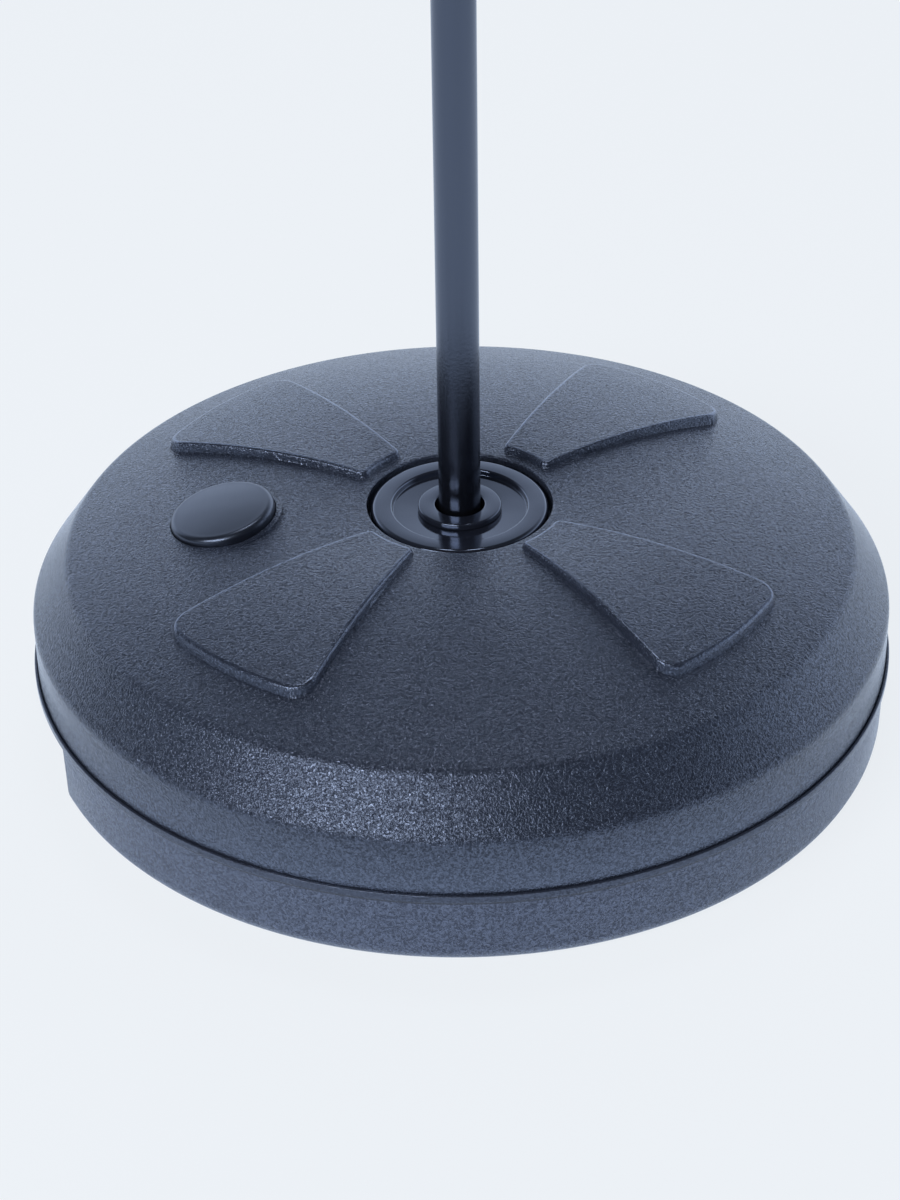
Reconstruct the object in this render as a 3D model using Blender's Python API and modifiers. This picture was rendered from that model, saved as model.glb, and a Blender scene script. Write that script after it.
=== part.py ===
# Basketball stand: a round two-shell ballast base, a telescopic pole and a small hoop with its board.
# Metres, +Z up. The floor is Z = 0, the pole stands on the Z axis and the hoop faces -Y.

import math

import bmesh
import bpy
from mathutils import Matrix, Vector

# Clearances
TOUCH = 0.0003
SLIDE_CLEARANCE = 0.0003
BOLT_CLEARANCE = 0.0004

# Base, turned about the pole
RIM_RADIUS = 0.2610
RIM_Z = 0.0510
LIP_WIDTH = 0.0016
LIP_HEIGHT = 0.0042
LIP_OVERHANG = 0.0021
LIP_UNDERCUT = 0.0032
GROOVE_WIDTH = 0.0009
LEDGE_DEPTH = 0.0040
LEDGE_WIDTH = 0.0060
SHELL_WALL = 0.0035
SIDE_HEIGHT = 0.0344
SHOULDER_RUN = 0.0222
SHOULDER_HEIGHT = 0.0318
DOME_HEIGHT = 0.0239
DOME_CROWN = 0.0092
CREASE_FILLET = 0.0090
SIDE_FILLET = 0.0100
BASE_STEPS = 44

# Underside
WALL_DRAFT = 0.0010
BASE_FILLET = 0.0106
FOOT_WIDTH = 0.0390
FOOT_HEIGHT = 0.0040
FLOOR_WALL = 0.0032
HUB_FOOT_RADIUS = 0.0420
RIB_COUNT = 9
RIB_WIDTH = 0.0030
RIB_SETBACK = 0.0006

# Hand grip in the lower wall
GRIP_AZIMUTH = math.radians(180)
GRIP_SWEEP = math.radians(50)
GRIP_DEPTH = 0.0270
GRIP_ROOF = 0.0080
GRIP_STEPS = 10

# Screws that hold the two shells
SCREW_COUNT = 6
SCREW_SETBACK = 0.0460
SCREW_AZIMUTH = math.radians(4.5)
SCREW_RADIUS = 0.0020
SCREW_HEAD_RADIUS = 0.0040
SCREW_HEAD_HEIGHT = 0.0026
SCREW_GRIP = 0.0120
SCREW_BITE = 0.0180
TOWER_RADIUS = 0.0072
TOWER_TOP = 0.0620
BOSS_RADIUS = 0.0060

# Raised pads
PAD_COUNT = 4
PAD_AZIMUTH = math.radians(49.5)
PAD_HALF_ANGLE = math.radians(15.5)
PAD_INNER = 0.0626
PAD_SETBACK = 0.0577
PAD_RISE_INNER = 0.0037
PAD_RISE_OUTER = 0.0063
PAD_CORNER_INNER = 0.0045
PAD_CORNER_OUTER = 0.0130
PAD_ROLL = 0.0026

# Centre well, its cover and the ring round the pole
WELL_RADIUS = 0.0556
WELL_DEPTH = 0.0149
COVER_GAP = 0.0024
COVER_DROP = 0.0013
COVER_WALL = 0.0022
COVER_ROUND = 0.0030
RECESS_RADIUS = 0.0406
RECESS_DEPTH = 0.0036
DISC_RADIUS = 0.0250
DISC_HEIGHT = 0.0038
DISC_GAP = 0.0024
DISC_WALL = 0.0016
SPIGOT_LENGTH = 0.0060

# Fill plug
PLUG_SETBACK = 0.1196
PLUG_AZIMUTH = math.radians(183.95)
PLUG_TILT = math.radians(11.25)
PLUG_RADIUS = 0.03175
PLUG_STAND = 0.0067
PLUG_CROWN = 0.0014
PLUG_ROLL = 0.0040
PLUG_WALL = 0.0024
SEAT_GAP = 0.0006
SEAT_DEPTH = 0.0046
SEAL_THICKNESS = 0.0020
NECK_RADIUS = 0.0250
NECK_WALL = 0.0030
NECK_LENGTH = 0.0180
SKIRT_CLEARANCE = 0.0006

# Pole
POLE_RADIUS = 0.0125
POLE_WALL = 0.0012
POLE_LENGTH = 0.7460
SOCKET_FLOOR = 0.0137
HUB_WALL = 0.0044
MAST_RADIUS = 0.0095
MAST_WALL = 0.0010
MAST_LENGTH = 0.9500
MAST_FOOT_Z = 0.3800
POLE_STEPS = 28

# Anchor bolt under the pole
ANCHOR_RADIUS = 0.0040
ANCHOR_FLATS = 0.0130
ANCHOR_HEAD = 0.0053
ANCHOR_NUT = 0.0065
WASHER_RADIUS = 0.0120
WASHER_THICKNESS = 0.0016
COUNTERBORE_RADIUS = 0.0140
COUNTERBORE_DEPTH = 0.0090
INSERT_FLANGE = 0.0020
INSERT_LENGTH = 0.0240

# Height clamp
COLLAR_RADIUS = 0.0185
COLLAR_HEIGHT = 0.0500
COLLAR_GRIP = 0.0260
COLLAR_BOSS = 0.0115
COLLAR_REACH = 0.0290
STUD_RADIUS = 0.0030
STUD_NUT_FLATS = 0.0100
STUD_NUT_HEIGHT = 0.0050
KNOB_RADIUS = 0.0170
KNOB_LOBES = 5
KNOB_LOBE_HEIGHT = 0.0022
KNOB_LENGTH = 0.0170

# Board
BOARD_WIDTH = 0.4200
BOARD_HEIGHT = 0.3000
BOARD_THICKNESS = 0.0050
BOARD_CORNER = 0.0250
BOARD_RIM = 0.0120
BOARD_RIM_DEPTH = 0.0060
BOARD_ABOVE_RING = 0.0600

# Bracket behind the board
BRACKET_HEIGHT = 0.1500
BRACKET_WEB = 0.0440
BRACKET_DEPTH = 0.0140
BRACKET_FEET = 0.0920
SHEET_THICKNESS = 0.0024
U_BOLT_RADIUS = 0.0025
U_BOLT_SPACING = 0.0560
U_NUT_FLATS = 0.0080
U_NUT_HEIGHT = 0.0040
MOUNT_RADIUS = 0.0030
MOUNT_SPACING_X = 0.0680
MOUNT_SPACING_Z = 0.1100
MOUNT_HEAD_RADIUS = 0.0065
MOUNT_HEAD_HEIGHT = 0.0030
MOUNT_NUT_FLATS = 0.0100
MOUNT_NUT_HEIGHT = 0.0050

# Ring and net
RING_Z = 1.1800
RING_RADIUS = 0.1050
RING_ROD = 0.0050
RING_FORWARD = 0.1480
RING_STEPS = 36
PLATE_WIDTH = 0.0920
PLATE_HEIGHT = 0.1340
PLATE_THICKNESS = 0.0030
BRACE_ROD = 0.0035
BRACE_ANGLE = math.radians(60)
NET_COLUMNS = 10
NET_ROWS = 4
NET_BOTTOM_RADIUS = 0.0620
NET_LENGTH = 0.2100
NET_CORD = 0.0032
NET_THICKNESS = 0.0022
HOOK_ROD = 0.0013
HOOK_WIDTH = 0.0074

# What follows from them
LIP_INNER = RIM_RADIUS - LIP_WIDTH
LEDGE_Z = RIM_Z - LEDGE_DEPTH
SKIRT_RADIUS = LIP_INNER - GROOVE_WIDTH
RIM_SEAL = LEDGE_DEPTH / 2 - 2 * TOUCH
SKIRT_Z = LEDGE_Z + RIM_SEAL + 2 * TOUCH
SHOULDER_Z = RIM_Z + SIDE_HEIGHT
CREASE_RADIUS = SKIRT_RADIUS - SHOULDER_RUN
CREASE_Z = SHOULDER_Z + SHOULDER_HEIGHT
DOME_Z = CREASE_Z + DOME_HEIGHT
WELL_Z = DOME_Z - WELL_DEPTH
WALL_RADIUS = RIM_RADIUS - LIP_OVERHANG
FOOT_INNER = RIM_RADIUS - FOOT_WIDTH
SCREW_CIRCLE = RIM_RADIUS - SCREW_SETBACK
PAD_OUTER = RIM_RADIUS - PAD_SETBACK
PLUG_DISTANCE = RIM_RADIUS - PLUG_SETBACK
FLOOR_Z = FOOT_HEIGHT + FLOOR_WALL
SOCKET_RADIUS = POLE_RADIUS + SLIDE_CLEARANCE
HUB_RADIUS = SOCKET_RADIUS + HUB_WALL
HUB_TOP = WELL_Z - SHELL_WALL - TOUCH
COVER_RADIUS = WELL_RADIUS - COVER_GAP
COVER_Z = DOME_Z - COVER_DROP
RECESS_Z = COVER_Z - RECESS_DEPTH
DISC_BORE = POLE_RADIUS + DISC_GAP
SPIGOT_RADIUS = DISC_BORE + DISC_WALL
COVER_BORE = SPIGOT_RADIUS + TOUCH
POLE_FOOT_Z = SOCKET_FLOOR + TOUCH + INSERT_FLANGE + TOUCH
POLE_TOP_Z = POLE_FOOT_Z + POLE_LENGTH
COLLAR_Z = POLE_TOP_Z - COLLAR_GRIP
KNOB_Z = POLE_TOP_Z + (COLLAR_HEIGHT - COLLAR_GRIP) / 2
MAST_TOP_Z = MAST_FOOT_Z + MAST_LENGTH
BOARD_Z = RING_Z + BOARD_ABOVE_RING
WEB_BACK_Y = -MAST_RADIUS - TOUCH
WEB_FRONT_Y = WEB_BACK_Y - SHEET_THICKNESS
FEET_FRONT_Y = WEB_FRONT_Y - BRACKET_DEPTH
FEET_BACK_Y = FEET_FRONT_Y + SHEET_THICKNESS
BOARD_BACK_Y = FEET_FRONT_Y - TOUCH
BOARD_FRONT_Y = BOARD_BACK_Y - BOARD_THICKNESS
PLATE_BACK_Y = BOARD_FRONT_Y - TOUCH
PLATE_FRONT_Y = PLATE_BACK_Y - PLATE_THICKNESS

for leftover in list(bpy.data.objects):
    bpy.data.objects.remove(leftover)

stand = bpy.data.collections.new("basketball_stand")
cutters = bpy.data.collections.new("cutters")
cutters.hide_render = True
for group in (stand, cutters):
    bpy.context.scene.collection.children.link(group)


# Materials

def material(name, colour, roughness, metallic=0.0):
    made = bpy.data.materials.new(name)
    made.use_nodes = True
    shader = made.node_tree.nodes["Principled BSDF"]
    shader.inputs["Base Color"].default_value = (*colour, 1.0)
    shader.inputs["Roughness"].default_value = roughness
    shader.inputs["Metallic"].default_value = metallic
    return made


GRAINED = material("grained_shell", (0.040, 0.043, 0.050), 0.45)
SPECKLED = material("speckled_shell", (0.034, 0.036, 0.042), 0.60)
GLOSSY = material("glossy_cover", (0.050, 0.053, 0.060), 0.22)
SATIN = material("satin_plug", (0.050, 0.053, 0.060), 0.35)
COATED = material("coated_tube", (0.018, 0.018, 0.020), 0.35, 0.4)
STEEL = material("zinc_steel", (0.55, 0.56, 0.58), 0.35, 1.0)
RUBBER = material("black_rubber", (0.015, 0.015, 0.015), 0.80)
PANEL = material("board_panel", (0.80, 0.80, 0.80), 0.40)
RING_COAT = material("ring_coat", (0.70, 0.12, 0.02), 0.35, 0.3)
CORD = material("net_cord", (0.80, 0.80, 0.78), 0.85)


# Modelling helpers

def place(name, mesh, look, location=(0, 0, 0), rotation=(0, 0, 0), parent=None):
    made = bpy.data.objects.new(name, mesh)
    made.location = location
    made.rotation_euler = rotation
    made.parent = parent
    if look is None:
        made.hide_render = True
        made.display_type = "WIRE"
        cutters.objects.link(made)
    else:
        if not mesh.materials:
            mesh.materials.append(look)
        stand.objects.link(made)
    return made


def mesh_of(name, bm):
    bmesh.ops.recalc_face_normals(bm, faces=bm.faces[:])
    mesh = bpy.data.meshes.new(name)
    bm.to_mesh(mesh)
    bm.free()
    mesh.shade_smooth()
    mesh.set_sharp_from_angle(angle=math.radians(35))
    return mesh


def join(target, piece, operation="UNION"):
    made = target.modifiers.new(operation.lower() + "_" + piece.name, "BOOLEAN")
    made.operation = operation
    made.object = piece
    made.solver = "EXACT"


def cut(target, cutter):
    join(target, cutter, "DIFFERENCE")


def baked(source):
    """The object's evaluated shape as a mesh of its own, in place of the object."""
    bpy.context.view_layer.update()
    graph = bpy.context.evaluated_depsgraph_get()
    mesh = bpy.data.meshes.new_from_object(source.evaluated_get(graph))
    bm = bmesh.new()
    bm.from_mesh(mesh)
    bmesh.ops.remove_doubles(bm, verts=bm.verts[:], dist=0.00001)
    bpy.data.objects.remove(source)
    return mesh_of(mesh.name, bm)


def fillet(before, corner, after, radius, segments):
    """The points of an arc that rounds one corner of a profile."""
    back = (before - corner).normalized()
    onward = (after - corner).normalized()
    half = back.angle(onward) / 2
    centre = corner + (back + onward).normalized() * (radius / math.sin(half))
    start = corner + back * (radius / math.tan(half)) - centre
    end = corner + onward * (radius / math.tan(half)) - centre
    sweep = start.angle(end)
    points = []
    for step in range(segments + 1):
        share = step / segments
        spoke = start * math.sin((1 - share) * sweep) + end * math.sin(share * sweep)
        points.append(centre + spoke / math.sin(sweep))
    return points


def rounded(corners, segments=3, closed=False):
    """A profile from its corners, each given as two coordinates and a fillet radius."""
    flat = [Vector(corner[:2]) for corner in corners]
    points = []
    for index, corner in enumerate(corners):
        at_end = index in (0, len(corners) - 1) and not closed
        if at_end or corner[2] <= 0:
            points.append(flat[index])
            continue
        before = flat[index - 1]
        after = flat[(index + 1) % len(flat)]
        points += fillet(before, flat[index], after, corner[2], segments)
    return [tuple(point) for point in points]


def inset(corners, distance):
    """The same corners moved inwards by a wall, to the right of the way they run."""
    flat = [Vector(corner[:2]) for corner in corners]
    moved = []
    for index, corner in enumerate(corners):
        before = flat[max(index - 1, 0)]
        after = flat[min(index + 1, len(flat) - 1)]
        first = (flat[index] - before) if index else (after - flat[index])
        second = (after - flat[index]) if after != flat[index] else first
        first, second = first.normalized(), second.normalized()
        first_side = Vector((first.y, -first.x))
        second_side = Vector((second.y, -second.x))
        shift = (first_side + second_side) / (1 + first_side.dot(second_side))
        turns_out = first.cross(second) < 0
        radius = corner[2] - distance if turns_out else corner[2] + distance
        point = flat[index] + shift * distance
        moved.append((point.x, point.y, max(radius, 0) if corner[2] else 0))
    return moved


def turned(name, profile, steps, look, closed=True, **where):
    """A piece turned about its own Z axis, from a profile that runs down its outer side."""
    edges = [(index, index + 1) for index in range(len(profile) - 1)]
    if closed:
        edges.append((len(profile) - 1, 0))
    mesh = bpy.data.meshes.new(name)
    mesh.from_pydata([(x, 0, z) for x, z in profile], edges, [])
    made = place(name, mesh, look, **where)
    screw = made.modifiers.new("turn", "SCREW")
    screw.steps = steps
    screw.render_steps = steps
    screw.use_smooth_shade = True
    screw.use_merge_vertices = True
    screw.merge_threshold = 0.00001
    return made


def cylinder(radius, low, high, sides, turn=0.0):
    """A closed cylinder or prism along Z between two heights."""
    bm = bmesh.new()
    middle = Matrix.Translation((0, 0, (low + high) / 2)) @ Matrix.Rotation(turn, 4, "Z")
    bmesh.ops.create_cone(
        bm, cap_ends=True, segments=sides, radius1=radius, radius2=radius,
        depth=high - low, matrix=middle,
    )
    return bm


def box(low, high):
    bm = bmesh.new()
    bmesh.ops.create_cube(bm, size=1)
    for vert in bm.verts:
        for axis in range(3):
            vert.co[axis] = high[axis] if vert.co[axis] > 0 else low[axis]
    return bm


def sector(inner, outer, low, high, start, sweep, steps):
    """A closed piece of a ring: a rectangle spun about Z."""
    bm = bmesh.new()
    bmesh.ops.create_grid(bm, x_segments=1, y_segments=1, size=0.5)
    for vert in bm.verts:
        radius = outer if vert.co.x > 0 else inner
        height = high if vert.co.y > 0 else low
        vert.co = (radius * math.cos(start), radius * math.sin(start), height)
    bmesh.ops.spin(
        bm, geom=bm.verts[:] + bm.edges[:] + bm.faces[:], cent=(0, 0, 0),
        axis=(0, 0, 1), angle=sweep, steps=steps,
    )
    return bm


def prism(outline, low, high):
    """A flat outline raised into a solid along Z."""
    bm = bmesh.new()
    face = bm.faces.new([bm.verts.new((x, y, low)) for x, y in outline])
    raised = bmesh.ops.extrude_face_region(bm, geom=[face])["geom"]
    top = [item for item in raised if isinstance(item, bmesh.types.BMVert)]
    bmesh.ops.translate(bm, verts=top, vec=(0, 0, high - low))
    return bm


def wire(name, points, radius, sides_quarter, cyclic=False):
    """A round wire along straight runs between the points, as a welded mesh."""
    curve = bpy.data.curves.new(name, "CURVE")
    curve.dimensions = "3D"
    curve.bevel_depth = radius
    curve.bevel_resolution = sides_quarter
    curve.use_fill_caps = True
    spline = curve.splines.new("POLY")
    spline.points.add(len(points) - 1)
    for index, point in enumerate(points):
        spline.points[index].co = (*point, 1)
    spline.use_cyclic_u = cyclic
    drawn = place(name, curve, STEEL)
    mesh = baked(drawn)
    bpy.data.curves.remove(curve)
    mesh.materials.clear()
    return mesh


def on_circle(radius, angle, z=0.0):
    return Vector((radius * math.cos(angle), radius * math.sin(angle), z))


# Upper shell: dome, shoulder and skirt with the well, pads, fill neck and screw bosses

def dome_z(radius):
    share = (radius - WELL_RADIUS) / (CREASE_RADIUS - WELL_RADIUS)
    return DOME_Z - DOME_HEIGHT * share + 4 * DOME_CROWN * share * (1 - share)


def reach_shell(bm, matrix, bottom, depth):
    """Moves the vertices above a height until they end in the dome's wall, at a depth under its skin."""
    for vert in bm.verts:
        if vert.co.z <= bottom:
            continue
        for _ in range(6):
            world = matrix @ vert.co
            vert.co.z += dome_z(world.xy.length) - depth - world.z


dome_samples = [
    (WELL_RADIUS + share * (CREASE_RADIUS - WELL_RADIUS), share)
    for share in (0.15, 0.42, 0.72)
]
shell_corners = [
    (SOCKET_RADIUS + TOUCH, WELL_Z, 0),
    (WELL_RADIUS, WELL_Z, 0),
    (WELL_RADIUS, DOME_Z, 0.0015),
    *[(radius, dome_z(radius), 0) for radius, share in dome_samples],
    (CREASE_RADIUS, CREASE_Z, CREASE_FILLET),
    (SKIRT_RADIUS, SHOULDER_Z, SIDE_FILLET),
    (SKIRT_RADIUS, SKIRT_Z, 0),
]
inner_corners = inset(shell_corners, SHELL_WALL)
shell_profile = rounded(shell_corners, 3) + rounded(inner_corners, 1)[::-1]
upper_shell = turned("base_upper_shell", shell_profile, BASE_STEPS, GRAINED)


def pad_outline(margin, segments):
    """The footprint of the pad that lies along +X, drawn in by a margin."""
    inner = PAD_INNER + margin
    outer = PAD_OUTER - margin
    inner_half = PAD_HALF_ANGLE - math.asin(margin / inner)
    outer_half = PAD_HALF_ANGLE - math.asin(margin / outer)
    arc = [(share, 0.0) for share in (-0.6, -0.2, 0.2, 0.6)]
    corners = [(*on_circle(inner, inner_half).xy, PAD_CORNER_INNER)]
    corners.append((*on_circle(inner, 0).xy, 0))
    corners.append((*on_circle(inner, -inner_half).xy, PAD_CORNER_INNER))
    corners.append((*on_circle(outer, -outer_half).xy, PAD_CORNER_OUTER - margin))
    for share, radius in arc:
        corners.append((*on_circle(outer, share * outer_half).xy, radius))
    corners.append((*on_circle(outer, outer_half).xy, PAD_CORNER_OUTER - margin))
    return rounded(corners, segments, closed=True)


def pad_top(radius):
    share = (radius - PAD_INNER) / (PAD_OUTER - PAD_INNER)
    return dome_z(radius) + PAD_RISE_INNER + (PAD_RISE_OUTER - PAD_RISE_INNER) * min(share * 1.15, 1)


def pad_mesh(name, margin, roll, roll_steps, bottom_depth):
    """A flat prism with a rolled top edge, laid on the dome by moving its points up and down."""
    tall = 0.05
    bm = prism(pad_outline(margin, roll_steps + 1), 0, tall)
    edges = [edge for edge in bm.edges if min(vert.co.z for vert in edge.verts) > tall / 2]
    bmesh.ops.bevel(
        bm, geom=edges, offset=roll, offset_type="OFFSET", segments=roll_steps,
        profile=0.5, affect="EDGES", material=-1, clamp_overlap=True,
    )
    span = PAD_OUTER - PAD_INNER
    for share in (0.33, 0.66):
        slice_pad(bm, tall, (PAD_INNER + share * span, 0, 0), (1, 0, 0))
    for share in (-0.4, 0.4):
        angle = share * PAD_HALF_ANGLE
        slice_pad(bm, tall, (0, 0, 0), (-math.sin(angle), math.cos(angle), 0))
    for vert in bm.verts:
        radius = vert.co.xy.length
        if vert.co.z < tall / 2:
            vert.co.z = dome_z(radius) - bottom_depth
        else:
            vert.co.z = pad_top(radius) - margin - (tall - vert.co.z)
    return mesh_of(name, bm)


def slice_pad(bm, tall, point, normal):
    """Cuts the pad's top face along a line, so that it can follow the dome."""
    faces = [face for face in bm.faces if min(vert.co.z for vert in face.verts) > tall - 0.00001]
    edges = {edge for face in faces for edge in face.edges}
    verts = {vert for face in faces for vert in face.verts}
    bmesh.ops.bisect_plane(
        bm, geom=faces + list(edges) + list(verts), dist=0.00001, plane_co=point, plane_no=normal,
    )


pad_solid = pad_mesh("pad", 0, PAD_ROLL, 2, SHELL_WALL / 2)
pad_hollow = pad_mesh("pad_hollow", SHELL_WALL, PAD_ROLL / 2, 1, 3 * SHELL_WALL)
pad_angles = [PAD_AZIMUTH + index * math.tau / PAD_COUNT for index in range(PAD_COUNT)]
for index, angle in enumerate(pad_angles):
    join(upper_shell, place(f"pad_{index + 1}", pad_solid, None, rotation=(0, 0, angle)))
for index, angle in enumerate(pad_angles):
    cut(upper_shell, place(f"pad_hollow_{index + 1}", pad_hollow, None, rotation=(0, 0, angle)))

screw_places = [
    on_circle(SCREW_CIRCLE, SCREW_AZIMUTH + index * math.tau / SCREW_COUNT)
    for index in range(SCREW_COUNT)
]
boss = cylinder(BOSS_RADIUS, TOWER_TOP + TOUCH, CREASE_Z, 8)
reach_shell(boss, Matrix.Translation((SCREW_CIRCLE, 0, 0)), CREASE_Z - 0.001, SHELL_WALL / 2)
boss_mesh = mesh_of("screw_boss", boss)
pilot_mesh = mesh_of(
    "pilot_hole", cylinder(SCREW_RADIUS + TOUCH, TOWER_TOP - 0.002, TOWER_TOP + SCREW_BITE + 0.002, 8),
)
for index, spot in enumerate(screw_places):
    turn = (0, 0, SCREW_AZIMUTH + index * math.tau / SCREW_COUNT)
    join(upper_shell, place(f"screw_boss_{index + 1}", boss_mesh, None, spot, turn))
    cut(upper_shell, place(f"pilot_hole_{index + 1}", pilot_mesh, None, spot, turn))

# The fill neck and its flat seat stand on the plug's tilted axis
plug_axis = bpy.data.objects.new("plug_axis", None)
plug_axis.empty_display_size = 0.05
plug_axis.location = on_circle(PLUG_DISTANCE, PLUG_AZIMUTH, dome_z(PLUG_DISTANCE))
plug_axis.rotation_euler = (0, PLUG_TILT, PLUG_AZIMUTH)
stand.objects.link(plug_axis)
plug_matrix = Matrix.Translation(plug_axis.location) @ plug_axis.rotation_euler.to_matrix().to_4x4()

seat_radius = PLUG_RADIUS + SEAT_GAP
seat_boss = cylinder(seat_radius + SHELL_WALL, -SEAT_DEPTH - SHELL_WALL, 0, 24)
reach_shell(seat_boss, plug_matrix, -0.001, SHELL_WALL / 4)
neck_tube = cylinder(NECK_RADIUS + NECK_WALL, -NECK_LENGTH, -SEAT_DEPTH - SHELL_WALL / 2, 20)
seat_recess = cylinder(seat_radius, -SEAT_DEPTH, 0.02, 32)
neck_bore = cylinder(NECK_RADIUS, -NECK_LENGTH - 0.01, 0, 20)
join(upper_shell, place("seat_boss", mesh_of("seat_boss", seat_boss), None, parent=plug_axis))
join(upper_shell, place("neck_tube", mesh_of("neck_tube", neck_tube), None, parent=plug_axis))
cut(upper_shell, place("seat_recess", mesh_of("seat_recess", seat_recess), None, parent=plug_axis))
cut(upper_shell, place("neck_bore", mesh_of("neck_bore", neck_bore), None, parent=plug_axis))


# Lower shell: lip and ledge, wall, foot ring, floor, hub with the pole's socket, towers and grip

lower_corners = [
    (LIP_INNER, RIM_Z, 0),
    (RIM_RADIUS, RIM_Z, 0.0006),
    (RIM_RADIUS, RIM_Z - LIP_HEIGHT, 0),
    (WALL_RADIUS, RIM_Z - LIP_HEIGHT - LIP_UNDERCUT, 0),
    (WALL_RADIUS - WALL_DRAFT, 0, BASE_FILLET),
    (FOOT_INNER, 0, 0),
    (FOOT_INNER - 0.0020, FOOT_HEIGHT, 0),
    (HUB_FOOT_RADIUS + 0.0020, FOOT_HEIGHT, 0),
    (HUB_FOOT_RADIUS, 0, 0),
    (COUNTERBORE_RADIUS, 0, 0),
    (COUNTERBORE_RADIUS, COUNTERBORE_DEPTH, 0),
    (ANCHOR_RADIUS + BOLT_CLEARANCE, COUNTERBORE_DEPTH, 0),
    (ANCHOR_RADIUS + BOLT_CLEARANCE, SOCKET_FLOOR, 0),
    (SOCKET_RADIUS, SOCKET_FLOOR, 0),
    (SOCKET_RADIUS, HUB_TOP, 0),
    (HUB_RADIUS, HUB_TOP, 0),
    (HUB_RADIUS, COUNTERBORE_DEPTH + SHELL_WALL, 0.0030),
    (HUB_FOOT_RADIUS, FLOOR_Z, 0),
    (WALL_RADIUS - WALL_DRAFT - SHELL_WALL, FLOOR_Z, 0.0080),
    (WALL_RADIUS - SHELL_WALL, LEDGE_Z - LEDGE_WIDTH, 0),
    (LIP_INNER - LEDGE_WIDTH, LEDGE_Z - LEDGE_WIDTH / 2, 0),
    (LIP_INNER - LEDGE_WIDTH, LEDGE_Z, 0),
    (LIP_INNER, LEDGE_Z, 0),
]
lower_shell = turned("base_lower_shell", rounded(lower_corners, 2, closed=True), BASE_STEPS, SPECKLED)

rib_top = FLOOR_Z - FLOOR_WALL / 2
rib_mesh = mesh_of(
    "rib",
    box(
        (HUB_FOOT_RADIUS - 0.002, -RIB_WIDTH / 2, RIB_SETBACK),
        (FOOT_INNER + 0.002, RIB_WIDTH / 2, rib_top),
    ),
)
for index in range(RIB_COUNT):
    angle = (index + 0.5) * math.tau / RIB_COUNT + SCREW_AZIMUTH
    join(lower_shell, place(f"rib_{index + 1}", rib_mesh, None, rotation=(0, 0, angle)))

tower_mesh = mesh_of("tower", cylinder(TOWER_RADIUS, FLOOR_Z - FLOOR_WALL / 2, TOWER_TOP, 8))
shank_hole_mesh = mesh_of(
    "shank_hole", cylinder(SCREW_RADIUS + BOLT_CLEARANCE, TOWER_TOP - 2 * SCREW_GRIP, TOWER_TOP + 0.002, 8),
)
head_well_mesh = mesh_of(
    "head_well", cylinder(SCREW_HEAD_RADIUS + BOLT_CLEARANCE, -0.002, TOWER_TOP - SCREW_GRIP, 8),
)
for index, spot in enumerate(screw_places):
    join(lower_shell, place(f"tower_{index + 1}", tower_mesh, None, spot))
    cut(lower_shell, place(f"shank_hole_{index + 1}", shank_hole_mesh, None, spot))
    cut(lower_shell, place(f"head_well_{index + 1}", head_well_mesh, None, spot))

grip_start = GRIP_AZIMUTH - GRIP_SWEEP / 2
grip_back = WALL_RADIUS - GRIP_DEPTH
grip_margin = SHELL_WALL / grip_back
grip_block = sector(
    grip_back - SHELL_WALL, WALL_RADIUS - WALL_DRAFT - SHELL_WALL / 2, FLOOR_Z / 2,
    RIM_Z - GRIP_ROOF + SHELL_WALL, grip_start - grip_margin, GRIP_SWEEP + 2 * grip_margin,
    GRIP_STEPS,
)
grip_space = sector(
    grip_back, RIM_RADIUS + 0.01, -0.002, RIM_Z - GRIP_ROOF, grip_start, GRIP_SWEEP, GRIP_STEPS,
)
join(lower_shell, place("grip_block", mesh_of("grip_block", grip_block), None))
cut(lower_shell, place("grip_space", mesh_of("grip_space", grip_space), None))

rim_seal = turned(
    "rim_seal",
    [
        (LIP_INNER - GROOVE_WIDTH, LEDGE_Z + TOUCH + RIM_SEAL),
        (LIP_INNER - GROOVE_WIDTH, LEDGE_Z + TOUCH),
        (LIP_INNER - LEDGE_WIDTH + 0.001, LEDGE_Z + TOUCH),
        (LIP_INNER - LEDGE_WIDTH + 0.001, LEDGE_Z + TOUCH + RIM_SEAL),
    ],
    BASE_STEPS, RUBBER,
)

screw_head_z = TOWER_TOP - SCREW_GRIP - TOUCH
screw_profile = [
    (0, TOWER_TOP + SCREW_BITE),
    (SCREW_RADIUS, TOWER_TOP + SCREW_BITE - SCREW_RADIUS),
    (SCREW_RADIUS, screw_head_z),
    (SCREW_HEAD_RADIUS, screw_head_z),
    (SCREW_HEAD_RADIUS, screw_head_z - SCREW_HEAD_HEIGHT),
    (0, screw_head_z - SCREW_HEAD_HEIGHT),
]
first_screw = turned("base_screw_0", screw_profile, 8, STEEL, closed=False)
screw_mesh = baked(first_screw)
for index, spot in enumerate(screw_places):
    place(f"base_screw_{index + 1}", screw_mesh, STEEL, spot)


# Centre cover and the trim ring round the pole

cover_corners = [
    (COVER_BORE, RECESS_Z, 0),
    (RECESS_RADIUS, RECESS_Z, 0.0008),
    (RECESS_RADIUS, COVER_Z, 0.0008),
    (COVER_RADIUS, COVER_Z, COVER_ROUND),
    (COVER_RADIUS, WELL_Z + TOUCH, 0),
]
cover_profile = rounded(cover_corners, 2) + rounded(inset(cover_corners, COVER_WALL), 1)[::-1]
turned("centre_cover", cover_profile, 28, GLOSSY)

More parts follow.
